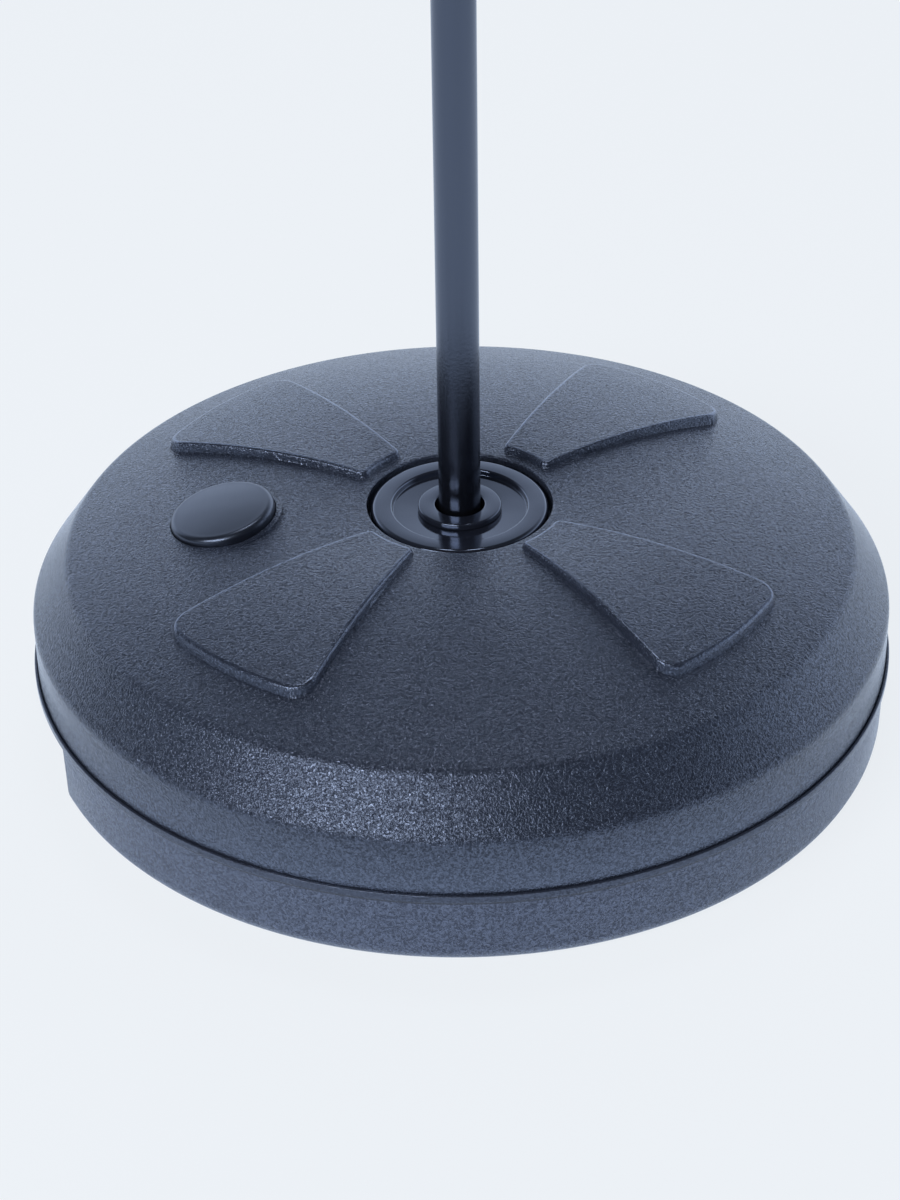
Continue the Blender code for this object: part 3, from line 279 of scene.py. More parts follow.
def corner_arc(before, corner, after, radius, pieces):
    """Points of the arc that rounds one corner of a section."""
    back = (before - corner).normalized()
    onward = (after - corner).normalized()
    half = back.angle(onward) / 2
    centre = corner + (back + onward).normalized() * (radius / math.sin(half))
    start = corner + back * (radius / math.tan(half)) - centre
    end = corner + onward * (radius / math.tan(half)) - centre
    sweep = start.angle(end)
    points = []
    for step in range(pieces + 1):
        share = step / pieces
        spoke = start * math.sin((1 - share) * sweep) + end * math.sin(share * sweep)
        points.append(centre + spoke / math.sin(sweep))
    return points


def section(corners, pieces=5, closed=False):
    """A section's points from its corners, each a radius, a height and a rounding."""
    flat = [Vector(corner[:2]) for corner in corners]
    points = []
    for index, corner in enumerate(corners):
        at_end = index in (0, len(corners) - 1) and not closed
        if at_end or corner[2] <= 0:
            points.append(flat[index])
            continue
        before = flat[index - 1]
        after = flat[(index + 1) % len(flat)]
        points += corner_arc(before, flat[index], after, corner[2], pieces)
    return points


def spin_section(points, steps, closed=True):
    """A section spun all the way round the Z axis."""
    bm = bmesh.new()
    verts = [bm.verts.new((point[0], 0, point[1])) for point in points]
    for first, second in zip(verts, verts[1:]):
        bm.edges.new((first, second))
    if closed:
        bm.edges.new((verts[-1], verts[0]))
    bmesh.ops.spin(
        bm, geom=bm.verts[:] + bm.edges[:], cent=(0, 0, 0), axis=(0, 0, 1),
        angle=math.tau, steps=steps, use_merge=True,
    )
    bmesh.ops.remove_doubles(bm, verts=bm.verts[:], dist=0.000001)
    bmesh.ops.recalc_face_normals(bm, faces=bm.faces[:])
    return bm


def finished(name, bm, sharp_angle=35):
    """An object at the origin from a finished mesh, smooth but for its sharp edges."""
    mesh = bpy.data.meshes.new(name)
    bm.to_mesh(mesh)
    bm.free()
    mesh.shade_smooth()
    mesh.set_sharp_from_angle(angle=math.radians(sharp_angle))
    made = bpy.data.objects.new(name, mesh)
    scene.collection.objects.link(made)
    return made


def coat(made, finish):
    """Gives a mesh one finish all over."""
    made.data.materials.clear()
    made.data.materials.append(finish)


def combine(target, tool, operation):
    """Adds or cuts one closed mesh with another and keeps the result as plain mesh."""
    step = target.modifiers.new("combine", "BOOLEAN")
    step.operation = operation
    step.solver = "MANIFOLD"
    step.object = tool
    bpy.context.view_layer.update()
    graph = bpy.context.evaluated_depsgraph_get()
    mesh = bpy.data.meshes.new_from_object(target.evaluated_get(graph))
    target.modifiers.remove(step)
    old = target.data
    mesh.name = old.name
    target.data = mesh
    bpy.data.meshes.remove(old)
    bpy.data.objects.remove(tool)


def closed_cylinder(radius, low, high, sides, matrix=Matrix()):
    """A closed cylinder along Z between two heights, then placed by a matrix."""
    bm = bmesh.new()
    bmesh.ops.create_cone(
        bm, cap_ends=True, segments=sides, radius1=radius, radius2=radius,
        depth=high - low, matrix=Matrix.Translation((0, 0, (low + high) / 2)),
    )
    bmesh.ops.transform(bm, matrix=matrix, verts=bm.verts[:])
    return bm


print("a corner of 90 degrees gets", len(section([(0, 0, 0), (1, 0, 0.2), (1, 1, 0)])), "points")

# %% [markdown]
# ## The four raised pads
# Four flat pads stand on the dome, wider towards the rim. They are part of the same moulding, so
# they are made by lifting the dome's own skin. The height at each point comes from how far the
# point lies inside the pad's outline: a steep side, then a rolled edge, then the flat top.

# %% Height of the skin over the pads
PAD_COUNT = 4
PAD_AZIMUTH = math.radians(49.5)
PAD_HALF_ANGLE = math.radians(15.5)
PAD_INNER = 0.0626
PAD_OUTER = 0.2033
PAD_RISE_INNER = 0.0037
PAD_RISE_OUTER = 0.0063
PAD_CORNER_INNER = 0.0045
PAD_CORNER_OUTER = 0.0130
PAD_ROLL = 0.0016
PAD_SIDE = 0.0005
PAD_EASE = 0.0018
PAD_EASE_DROP = 0.00028


def inside_pad(radius, azimuth):
    """Distance of a point inside the nearest pad's outline, negative outside it."""
    turn = math.tau / PAD_COUNT
    offset = abs((azimuth - PAD_AZIMUTH + turn / 2) % turn - turn / 2)
    from_side = radius * math.sin(PAD_HALF_ANGLE - offset)
    nearer_hub = radius < (PAD_INNER + PAD_OUTER) / 2
    from_end = radius - PAD_INNER if nearer_hub else PAD_OUTER - radius
    corner = PAD_CORNER_INNER if nearer_hub else PAD_CORNER_OUTER
    if from_side < corner and from_end < corner:
        return corner - math.hypot(corner - from_side, corner - from_end)
    return min(from_side, from_end)


def pad_lift(radius, azimuth):
    """How far the skin stands above the dome."""
    depth = inside_pad(radius, azimuth)
    if depth <= -PAD_SIDE:
        return 0.0
    share = (radius - PAD_INNER) / (PAD_OUTER - PAD_INNER)
    rise = PAD_RISE_INNER + (PAD_RISE_OUTER - PAD_RISE_INNER) * min(max(share * 1.15, 0), 1)
    ease = 1 - min(max(depth, 0) / (PAD_ROLL + PAD_EASE), 1)
    rise -= PAD_EASE_DROP * ease * ease
    side = rise - PAD_ROLL
    if depth <= 0:
        climb = 1 + depth / PAD_SIDE
        return side * climb * climb * (3 - 2 * climb)
    if depth < PAD_ROLL:
        return side + math.sqrt(PAD_ROLL ** 2 - (PAD_ROLL - depth) ** 2)
    return rise


print("pads stand", PAD_RISE_INNER * 1000, "to", PAD_RISE_OUTER * 1000, "mm above the dome")

# %% [markdown]
# ## A fine net of points for the upper shell
# The shell is spun with even steps, and then its points are moved sideways so that they crowd
# where a pad's side climbs. A smooth dome needs few points, and a rolled edge needs many.

# %% Where the rings and the spokes of the upper shell lie
RING_STEP = 0.0032
SPOKE_STEP = math.radians(1.0)
FINE_RING_STEP = 0.0005
FINE_SPOKE_STEP = math.radians(0.16)


def graded(start, end, coarse, fine, zones):
    """Numbers from start to end that step finely inside the zones and coarsely elsewhere."""
    marks = [start]
    while marks[-1] < end - fine / 2:
        here = marks[-1]
        in_zone = any(low - fine / 2 <= here < high for low, high in zones)
        onward = [low for low, high in zones if low > here + fine / 2]
        step = fine if in_zone else coarse
        if not in_zone and onward:
            step = min(step, min(onward) - here)
        marks.append(min(here + step, end))
    return marks


pad_zones = [
    (PAD_INNER - 2 * PAD_SIDE, PAD_INNER + PAD_CORNER_INNER),
    (PAD_OUTER - PAD_CORNER_OUTER - 0.001, PAD_OUTER + 2 * PAD_SIDE),
]
dome_radii = graded(WELL_RADIUS + 0.0022, CREASE_RADIUS - 0.0070, RING_STEP, FINE_RING_STEP, pad_zones)

spoke_zones = []
for index in range(PAD_COUNT):
    middle = PAD_AZIMUTH + index * math.tau / PAD_COUNT
    first_side = middle - PAD_HALF_ANGLE
    second_side = middle + PAD_HALF_ANGLE
    outside = math.radians(0.6)
    inside = math.radians(3.8)
    spoke_zones.append((first_side - outside, first_side + inside))
    spoke_zones.append((second_side - inside, second_side + outside))
spokes = graded(0, math.tau, SPOKE_STEP, FINE_SPOKE_STEP, spoke_zones)[:-1]
print("rings on the dome:", len(dome_radii), " spokes:", len(spokes))

# %% Upper shell with its pads
outer_corners = [
    (SOCKET_RADIUS + 0.0003, WELL_Z, 0),
    (WELL_RADIUS, WELL_Z, 0),
    (WELL_RADIUS, DOME_Z, 0.0015),
]
outer_skin = section(outer_corners + [(dome_radii[0], dome_z(dome_radii[0]), 0)])
outer_skin += [Vector((radius, dome_z(radius))) for radius in dome_radii[1:]]
outer_skin += section(
    [
        (dome_radii[-1], dome_z(dome_radii[-1]), 0),
        (CREASE_RADIUS, CREASE_Z, CREASE_FILLET),
        (SKIRT_RADIUS, SHOULDER_Z, SIDE_FILLET),
        (SKIRT_RADIUS, SKIRT_Z, 0),
    ],
    9,
)[1:]
inner_skin = [
    Vector((SKIRT_RADIUS - SHELL_WALL, SKIRT_Z)),
    Vector((SKIRT_RADIUS - SHELL_WALL, SHOULDER_Z)),
    Vector((CREASE_RADIUS - SHELL_WALL, CREASE_Z - SHELL_WALL)),
]
for share in (0.8, 0.6, 0.4, 0.2):
    radius = WELL_RADIUS + share * (CREASE_RADIUS - WELL_RADIUS)
    inner_skin.append(Vector((radius, dome_z(radius) - SHELL_WALL)))
inner_skin += [
    Vector((WELL_RADIUS + SHELL_WALL, DOME_Z - SHELL_WALL)),
    Vector((WELL_RADIUS + SHELL_WALL, WELL_Z - SHELL_WALL)),
    Vector((SOCKET_RADIUS + 0.0003, WELL_Z - SHELL_WALL)),
]
upper = spin_section(outer_skin + inner_skin, len(spokes))
for vert in upper.verts:
    radius = vert.co.xy.length
    even = math.atan2(vert.co.y, vert.co.x) % math.tau
    azimuth = spokes[round(even / math.tau * len(spokes)) % len(spokes)]
    vert.co.x = radius * math.cos(azimuth)
    vert.co.y = radius * math.sin(azimuth)
    on_skin = abs(vert.co.z - dome_z(radius)) < 0.00001
    if on_skin and PAD_INNER - PAD_SIDE < radius < PAD_OUTER + PAD_SIDE:
        vert.co.z += pad_lift(radius, azimuth)
upper_shell = finished("upper_shell_skin", upper, 50)
print("upper shell faces:", len(upper_shell.data.polygons))

# %% [markdown]
# ## The plug's seat
# Sand or water goes in at the left. Its hole leans with the dome, so the seat and the neck below
# it are made on their own leaning axis: a boss under the skin, a short tube, a flat recess for the
# plug's cap and the bore itself. Each one is a closed cylinder that is added to the shell or cut
# out of it.

# %% Seat and neck on the plug's axis
PLUG_DISTANCE = 0.1414
PLUG_AZIMUTH = math.radians(183.95)
PLUG_TILT = math.radians(11.25)
PLUG_RADIUS = 0.03175
SEAT_GAP = 0.0006
SEAT_DEPTH = 0.0046
NECK_RADIUS = 0.0250
NECK_WALL = 0.0030
NECK_LENGTH = 0.0180
PLUG_SIDES = 96

plug_spot = Vector((
    PLUG_DISTANCE * math.cos(PLUG_AZIMUTH),
    PLUG_DISTANCE * math.sin(PLUG_AZIMUTH),
    dome_z(PLUG_DISTANCE),
))
plug_place = (
    Matrix.Translation(plug_spot)
    @ Matrix.Rotation(PLUG_AZIMUTH, 4, "Z")
    @ Matrix.Rotation(PLUG_TILT, 4, "Y")
)
seat_radius = PLUG_RADIUS + SEAT_GAP
boss_radius = seat_radius + SHELL_WALL
boss_low = -SEAT_DEPTH - SHELL_WALL
seat_boss = closed_cylinder(boss_radius, boss_low, -0.0012, PLUG_SIDES, plug_place)
neck_tube = closed_cylinder(
    NECK_RADIUS + NECK_WALL, -NECK_LENGTH, -SEAT_DEPTH - SHELL_WALL / 2, PLUG_SIDES, plug_place,
)
seat_recess = closed_cylinder(seat_radius, -SEAT_DEPTH, 0.02, PLUG_SIDES, plug_place)
neck_bore = closed_cylinder(NECK_RADIUS, -NECK_LENGTH - 0.01, 0, PLUG_SIDES, plug_place)
combine(upper_shell, finished("seat_boss", seat_boss), "UNION")
combine(upper_shell, finished("neck_tube", neck_tube), "UNION")
combine(upper_shell, finished("seat_recess", seat_recess), "DIFFERENCE")
combine(upper_shell, finished("neck_bore", neck_bore), "DIFFERENCE")
upper_shell.data.shade_smooth()
upper_shell.data.set_sharp_from_angle(angle=math.radians(50))
print("upper shell faces with its seat:", len(upper_shell.data.polygons))

# %% [markdown]
# ## Where the grain is polished away
# In the picture the grain is finer on the skirt and smoother on the rolled edges of the pads. Each
# point of a shell gets a number for that, and the grain's material reads it: 0 is full grain, and
# 1 is none.

# %% Polish on the skirt and the pads' edges
SKIRT_POLISH = 0.4
ROLL_POLISH = 0.3
EASE_POLISH = 0.65
FOOT_POLISH = 0.5


def write_polish(made, level):
    """Writes how far the moulded grain is polished away, from a function of the point."""
    polish = made.data.attributes.new("polish", "FLOAT", "POINT")
    for vert, value in zip(made.data.vertices, polish.data):
        value.value = level(vert.co)


def polish_on_top(point):
    """The polish at a point: some on the skirt and the pads' rolled edges, none elsewhere."""
    if point.z < SHOULDER_Z - 0.004:
        return SKIRT_POLISH
    depth = inside_pad(point.xy.length, math.atan2(point.y, point.x) % math.tau)
    if -PAD_SIDE <= depth < PAD_ROLL * 0.5:
        return ROLL_POLISH
    return EASE_POLISH if 0 < depth < PAD_ROLL + PAD_EASE / 2 else 0.0


write_polish(upper_shell, polish_on_top)
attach(upper_shell, "base")
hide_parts("base_upper_shell")
print("polish written on points:", len(upper_shell.data.vertices))

# %% [markdown]
# ## Nodes that the finishes share
# Every finish here is drawn by mathematics, with no pictures. A noise gives a pattern, a bump turns
# it into relief, a range turns it into a level such as roughness, and a ramp turns it into colour.

# %% Noise, relief, range and ramp

def add_noise(tree, place, scale, detail):
    """A noise pattern on the given coordinates."""
    noise = tree.nodes.new("ShaderNodeTexNoise")
    noise.inputs["Scale"].default_value = scale
    noise.inputs["Detail"].default_value = detail
    tree.links.new(place, noise.inputs["Vector"])
    return noise


def add_relief(tree, height, distance, under=None):
    """A bump of the given height in metres, laid over another relief if there is one."""
    relief = tree.nodes.new("ShaderNodeBump")
    relief.inputs["Distance"].default_value = distance
    tree.links.new(height, relief.inputs["Height"])
    if under:
        tree.links.new(under.outputs["Normal"], relief.inputs["Normal"])
    return relief


def add_range(tree, source, low, high, start=0.0, end=1.0):
    """A level that runs from low to high while its source runs from start to end."""
    made = tree.nodes.new("ShaderNodeMapRange")
    made.inputs["From Min"].default_value = start
    made.inputs["From Max"].default_value = end
    made.inputs["To Min"].default_value = low
    made.inputs["To Max"].default_value = high
    tree.links.new(source, made.inputs["Value"])
    return made.outputs["Result"]


def add_ramp(tree, source, low, high, start=0.0, end=1.0):
    """A colour that runs from low to high while its source runs from start to end."""
    made = tree.nodes.new("ShaderNodeValToRGB")
    made.color_ramp.elements[0].position = start
    made.color_ramp.elements[0].color = (*low, 1)
    made.color_ramp.elements[1].position = end
    made.color_ramp.elements[1].color = (*high, 1)
    tree.links.new(source, made.inputs["Fac"])
    return made.outputs["Color"]


def stretched(tree, place, scale, turn=0.0):
    """The given coordinates, turned about Z and stretched."""
    made = tree.nodes.new("ShaderNodeMapping")
    made.inputs["Rotation"].default_value = (0, 0, turn)
    made.inputs["Scale"].default_value = scale
    tree.links.new(place, made.inputs["Vector"])
    return made.outputs["Vector"]


print("the finishes share noise, relief, range, ramp and stretch")

# %% [markdown]
# ## Moulded grain
# Both shells have the fine leather-like grain that is etched into a mould to hide scratches. It is
# a shallow relief of small worms, with finer pits between them. Shade is painted into the colour of
# the valleys, which are darker than the tops, and a highlight is painted on the tops, which are
# lighter. The valleys are also duller than the tops. The relief is weaker where a point's polish is
# higher.

# %% Grained plastic
PLASTIC_IOR = 1.66
# Factors on the grain's colour: painted shade in the valleys and a painted highlight on the tops.
VALLEY_PAINTED_SHADE = 0.78
TOP_PAINTED_HIGHLIGHT = 1.22
VALLEY_SHINE = 0.25
TOP_SHINE = 1.0
VALLEY_DEPTH = 0.55
TOP_DEPTH = 0.80
PIT_SHARE = 0.35
GLOSS_SWING = 0.03
COOL_SHEEN = (0.62, 0.71, 0.92)
UPPER_WORM_SIZE = 0.0014


def moulded_grain(name, colour, roughness, worm_size, worm_height, pit_size, pit_height):
    """A dark moulded plastic whose relief is dull in its valleys and shiny on its tops, with shade
    painted into its valleys' colour and a highlight painted on its tops' colour.
    """
    material = bpy.data.materials.new(name)
    tree, shader, link = shader_parts(material)
    shader.inputs["IOR"].default_value = PLASTIC_IOR
    shader.inputs["Specular Tint"].default_value = (*COOL_SHEEN, 1)
    place = tree.nodes.new("ShaderNodeTexCoord").outputs["Object"]
    polish = tree.nodes.new("ShaderNodeAttribute")
    polish.attribute_name = "polish"
    strength = tree.nodes.new("ShaderNodeMath")
    strength.operation = "SUBTRACT"
    strength.inputs[0].default_value = 1.0
    link(polish.outputs["Fac"], strength.inputs[1])

    worms = add_noise(tree, place, 1 / worm_size, 1.5)
    worms.inputs["Roughness"].default_value = 0.45
    worms.inputs["Distortion"].default_value = 0.9
    pits = add_noise(tree, place, 1 / pit_size, 1.0)
    worm_relief = add_relief(tree, worms.outputs["Fac"], worm_height)
    pit_relief = add_relief(tree, pits.outputs["Fac"], pit_height, worm_relief)
    for relief in (worm_relief, pit_relief):
        link(strength.outputs["Value"], relief.inputs["Strength"])
    link(pit_relief.outputs["Normal"], shader.inputs["Normal"])

    depth = tree.nodes.new("ShaderNodeMath")
    depth.operation = "MULTIPLY_ADD"
    depth.inputs[1].default_value = PIT_SHARE
    link(pits.outputs["Fac"], depth.inputs[0])
    link(worms.outputs["Fac"], depth.inputs[2])
    # Painted shade and highlight: the colour is darker in the relief's valleys and lighter on its
    # tops.
    shaded_valley_colour = [VALLEY_PAINTED_SHADE * channel for channel in colour]
    top = [TOP_PAINTED_HIGHLIGHT * channel for channel in colour]
    painted_shade_and_highlight = add_ramp(tree, depth.outputs["Value"], shaded_valley_colour, top, VALLEY_DEPTH, TOP_DEPTH)
    link(painted_shade_and_highlight, shader.inputs["Base Color"])
    shine = add_range(
        tree, depth.outputs["Value"], VALLEY_SHINE, TOP_SHINE, VALLEY_DEPTH, TOP_DEPTH,
    )
    sheen = tree.nodes.new("ShaderNodeMath")
    sheen.operation = "ADD"
    link(shine, sheen.inputs[0])
    link(polish.outputs["Fac"], sheen.inputs[1])
    link(sheen.outputs["Value"], shader.inputs["Specular IOR Level"])

    patches = add_noise(tree, place, 14.0, 3.0)
    gloss = add_range(
        tree, patches.outputs["Fac"], roughness - GLOSS_SWING, roughness + GLOSS_SWING, 0.3, 0.7,
    )
    link(gloss, shader.inputs["Roughness"])
    return material


upper_grain = moulded_grain(
    "charcoal_worm_grain", (0.029, 0.034, 0.050), 0.15, UPPER_WORM_SIZE, 0.0006, 0.0006, 0.00015,
)
coat(upper_shell, upper_grain)
print("worm grain about", UPPER_WORM_SIZE * 1000, "mm apart on the upper shell")

# %% [markdown]
# ## Lower shell
# The lower shell is a shallow pan. Its wall ends in a thin smooth lip, and a dark gap is left
# between the lip and the upper shell. Underneath it has a ring to stand on, stiffening ribs, six
# wells for the screws, and at the left a slot under the edge for the fingers.

# %% Lower shell turned in one piece
RIM_STEPS = 288
COUNTERBORE_RADIUS = 0.0140
COUNTERBORE_DEPTH = 0.0090
ANCHOR_HOLE_RADIUS = 0.0044
SOCKET_FLOOR = 0.0137

pan_corners = [
    (LIP_INNER, RIM_Z, 0.0003),
    (RIM_RADIUS, RIM_Z, 0.0006),
    (RIM_RADIUS, RIM_Z - LIP_HEIGHT, 0.0005),
    (WALL_RADIUS, RIM_Z - LIP_HEIGHT - LIP_UNDERCUT, 0.0012),
    (WALL_RADIUS - WALL_DRAFT, 0, BASE_FILLET),
    (FOOT_INNER, 0, 0.0006),
    (FOOT_INNER - 0.0020, FOOT_HEIGHT, 0.0006),
    (HUB_FOOT_RADIUS + 0.0020, FOOT_HEIGHT, 0.0006),
    (HUB_FOOT_RADIUS, 0, 0.0006),
    (COUNTERBORE_RADIUS, 0, 0.0004),
    (COUNTERBORE_RADIUS, COUNTERBORE_DEPTH, 0),
    (ANCHOR_HOLE_RADIUS, COUNTERBORE_DEPTH, 0),
    (ANCHOR_HOLE_RADIUS, SOCKET_FLOOR, 0),
    (SOCKET_RADIUS, SOCKET_FLOOR, 0),
    (SOCKET_RADIUS, HUB_TOP, 0),
    (HUB_RADIUS, HUB_TOP, 0),
    (HUB_RADIUS, COUNTERBORE_DEPTH + SHELL_WALL, 0.0030),
    (HUB_FOOT_RADIUS, FLOOR_Z, 0),
    (WALL_RADIUS - WALL_DRAFT - SHELL_WALL, FLOOR_Z, 0.0080),
    (WALL_RADIUS - SHELL_WALL, LEDGE_Z - LEDGE_WIDTH, 0),
    (LIP_INNER - LEDGE_WIDTH, LEDGE_Z - LEDGE_WIDTH / 2, 0),
    (LIP_INNER - LEDGE_WIDTH, LEDGE_Z, 0),
    (LIP_INNER, LEDGE_Z, 0),
]
pan = spin_section(section(pan_corners, 6, closed=True), RIM_STEPS)
lower_shell = finished("lower_shell_pan", pan, 40)
print("lower shell faces:", len(lower_shell.data.polygons))

# %% Ribs, screw wells and the hand grip
RIB_COUNT = 9
RIB_WIDTH = 0.0030
RIB_SETBACK = 0.0006
SCREW_COUNT = 6
SCREW_CIRCLE = 0.2150
SCREW_AZIMUTH = math.radians(4.5)
HEAD_WELL_RADIUS = 0.0044
HEAD_WELL_TOP = 0.0500
TOWER_RADIUS = 0.0072
TOWER_TOP = 0.0620
GRIP_AZIMUTH = math.radians(180)
GRIP_SWEEP = math.radians(50)
GRIP_BACK = 0.2319
GRIP_ROOF_Z = 0.0430
GRIP_STEPS = 48


def ring_piece(inner, outer, low, high, start, sweep, steps):
    """A closed piece of a square ring about the pole."""
    bm = bmesh.new()
    bmesh.ops.create_grid(bm, x_segments=1, y_segments=1, size=0.5)
    for vert in bm.verts:
        radius = outer if vert.co.x > 0 else inner
        height = high if vert.co.y > 0 else low
        vert.co = (radius * math.cos(start), radius * math.sin(start), height)
    bmesh.ops.spin(
        bm, geom=bm.verts[:] + bm.edges[:] + bm.faces[:], cent=(0, 0, 0),
        axis=(0, 0, 1), angle=sweep, steps=steps,
    )
    bmesh.ops.recalc_face_normals(bm, faces=bm.faces[:])
    return bm


def round_long_edges(bm, size, pieces):
    """Rounds every sharp edge of a block."""
    sharp = [edge for edge in bm.edges if edge.calc_face_angle(0) > 1]
    bmesh.ops.bevel(
        bm, geom=sharp, offset=size, offset_type="OFFSET", segments=pieces, profile=0.5,
        affect="EDGES", material=-1,
    )
    return bm


for index in range(RIB_COUNT):
    rib = bmesh.new()
    bmesh.ops.create_cube(rib, size=1)
    for vert in rib.verts:
        vert.co.x = FOOT_INNER + 0.002 if vert.co.x > 0 else HUB_FOOT_RADIUS - 0.002
        vert.co.y = math.copysign(RIB_WIDTH / 2, vert.co.y)
        vert.co.z = FLOOR_Z - 0.0016 if vert.co.z > 0 else RIB_SETBACK
    angle = (index + 0.5) * math.tau / RIB_COUNT + SCREW_AZIMUTH
    bmesh.ops.rotate(rib, matrix=Matrix.Rotation(angle, 3, "Z"), verts=rib.verts[:])
    combine(lower_shell, finished("rib", rib), "UNION")

for index in range(SCREW_COUNT):
    angle = SCREW_AZIMUTH + index * math.tau / SCREW_COUNT
    spot = Matrix.Translation((SCREW_CIRCLE * math.cos(angle), SCREW_CIRCLE * math.sin(angle), 0))
    tower = closed_cylinder(TOWER_RADIUS, FLOOR_Z - 0.0016, TOWER_TOP, 32, spot)
    well = closed_cylinder(HEAD_WELL_RADIUS, -0.002, HEAD_WELL_TOP, 32, spot)
    combine(lower_shell, finished("tower", tower), "UNION")
    combine(lower_shell, finished("well", well), "DIFFERENCE")

grip_margin = SHELL_WALL / GRIP_BACK
grip_block = ring_piece(
    GRIP_BACK - SHELL_WALL, WALL_RADIUS - WALL_DRAFT - SHELL_WALL / 2, FLOOR_Z / 2,
    GRIP_ROOF_Z + SHELL_WALL, GRIP_AZIMUTH - GRIP_SWEEP / 2 - grip_margin,
    GRIP_SWEEP + 2 * grip_margin, GRIP_STEPS,
)
grip_space = ring_piece(
    GRIP_BACK, RIM_RADIUS + 0.01, -0.012, GRIP_ROOF_Z, GRIP_AZIMUTH - GRIP_SWEEP / 2,
    GRIP_SWEEP, GRIP_STEPS,
)
combine(lower_shell, finished("grip_block", grip_block), "UNION")
combine(lower_shell, finished("grip_space", round_long_edges(grip_space, 0.003, 4)), "DIFFERENCE")
lower_shell.data.shade_smooth()
lower_shell.data.set_sharp_from_angle(angle=math.radians(40))
write_polish(lower_shell, lambda point: FOOT_POLISH * (1 - min(max(point.z / BASE_FILLET, 0), 1)))
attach(lower_shell, "base")
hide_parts("base_lower_shell")
print("lower shell faces with ribs, wells and grip:", len(lower_shell.data.polygons))

# %% Finer grain below, and a smooth lip
lower_grain = moulded_grain(
    "charcoal_speckled_grain", (0.062, 0.072, 0.108), 0.24, 0.0016, 0.0009, 0.0007, 0.00025,
)
smooth_lip = moulded_grain(
    "charcoal_smooth_lip", (0.036, 0.040, 0.056), 0.20, 0.0010, 0.00001, 0.0006, 0.00001,
)
coat(lower_shell, lower_grain)
lower_shell.data.materials.append(smooth_lip)
lip_faces = 0
for face in lower_shell.data.polygons:
    at_lip = face.center.xy.length > WALL_RADIUS + 0.0002 or face.center.z > RIM_Z - 0.0005
    if at_lip and face.center.z > RIM_Z - LIP_HEIGHT - LIP_UNDERCUT:
        face.material_index = 1
        lip_faces += 1
print("smooth faces on the lip:", lip_faces)

# %% [markdown]
# ## Centre cover and the ring round the pole
# A smooth glossy cover closes the well in the middle, with a flat rim and a shallow recess. In the
# recess stands a small ring that centres the pole. Both are polished mouldings, so their edges are
# small clean arcs that draw a thin bright line.

# %% Cover and trim ring
COVER_RADIUS = 0.0532
COVER_Z = 0.1398
COVER_ROUND = 0.0030
COVER_WALL = 0.0022
RECESS_RADIUS = 0.0406
RECESS_Z = 0.1362
COVER_BORE = 0.0168
DISC_RADIUS = 0.0250
DISC_BORE = 0.0149
DISC_LOW = 0.1365
DISC_TOP = 0.1403
SPIGOT_RADIUS = 0.0165
SPIGOT_LENGTH = 0.0060
ROUND_STEPS = 192

cover_corners = [
    (COVER_RADIUS, WELL_Z + 0.0003, 0),
    (COVER_RADIUS, COVER_Z, COVER_ROUND),
    (RECESS_RADIUS, COVER_Z, 0.0014),
    (RECESS_RADIUS - 0.0004, RECESS_Z, 0.0007),
    (COVER_BORE, RECESS_Z, 0.0003),
    (COVER_BORE, RECESS_Z - COVER_WALL, 0.0003),
    (RECESS_RADIUS + 0.001, RECESS_Z - COVER_WALL, 0),
    (RECESS_RADIUS + 0.002, COVER_Z - COVER_WALL, 0),
    (COVER_RADIUS - COVER_WALL, COVER_Z - COVER_WALL, 0.0008),
    (COVER_RADIUS - COVER_WALL, WELL_Z + 0.0003, 0),
]
cover_points = section(cover_corners, 8, closed=True)
centre_cover = finished("cover_moulding", spin_section(cover_points, ROUND_STEPS), 50)
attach(centre_cover, "base")
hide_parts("centre_cover")

disc_corners = [
    (DISC_BORE, DISC_TOP, 0.0009),
    (DISC_RADIUS, DISC_TOP, 0.0011),
    (DISC_RADIUS, DISC_LOW, 0.0004),
    (SPIGOT_RADIUS, DISC_LOW, 0),
    (SPIGOT_RADIUS, DISC_LOW - SPIGOT_LENGTH, 0),
    (DISC_BORE, DISC_LOW - SPIGOT_LENGTH, 0),
]
disc_points = section(disc_corners, 6, closed=True)
trim_ring = finished("pole_ring_moulding", spin_section(disc_points, ROUND_STEPS), 50)
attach(trim_ring, "base")
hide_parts("pole_trim_ring")
print("cover and ring faces:", len(centre_cover.data.polygons), len(trim_ring.data.polygons))

# %% [markdown]
# ## Fill plug
# The plug is a soft bung with a wide crowned cap and a hollow skirt. The cap's rolled edge is the
# largest rounding on the base, and it shows as a broad soft glint.

# %% Plug turned, then set on its leaning axis
PLUG_EDGE = 0.0053
PLUG_TOP = 0.0067
PLUG_ROLL = 0.0040
PLUG_UNDERSIDE = -0.0020
PLUG_SKIRT_RADIUS = 0.0244
PLUG_SKIRT_END = -0.0170
PLUG_HOLLOW_RADIUS = 0.0220
CROWN_POINTS = 14

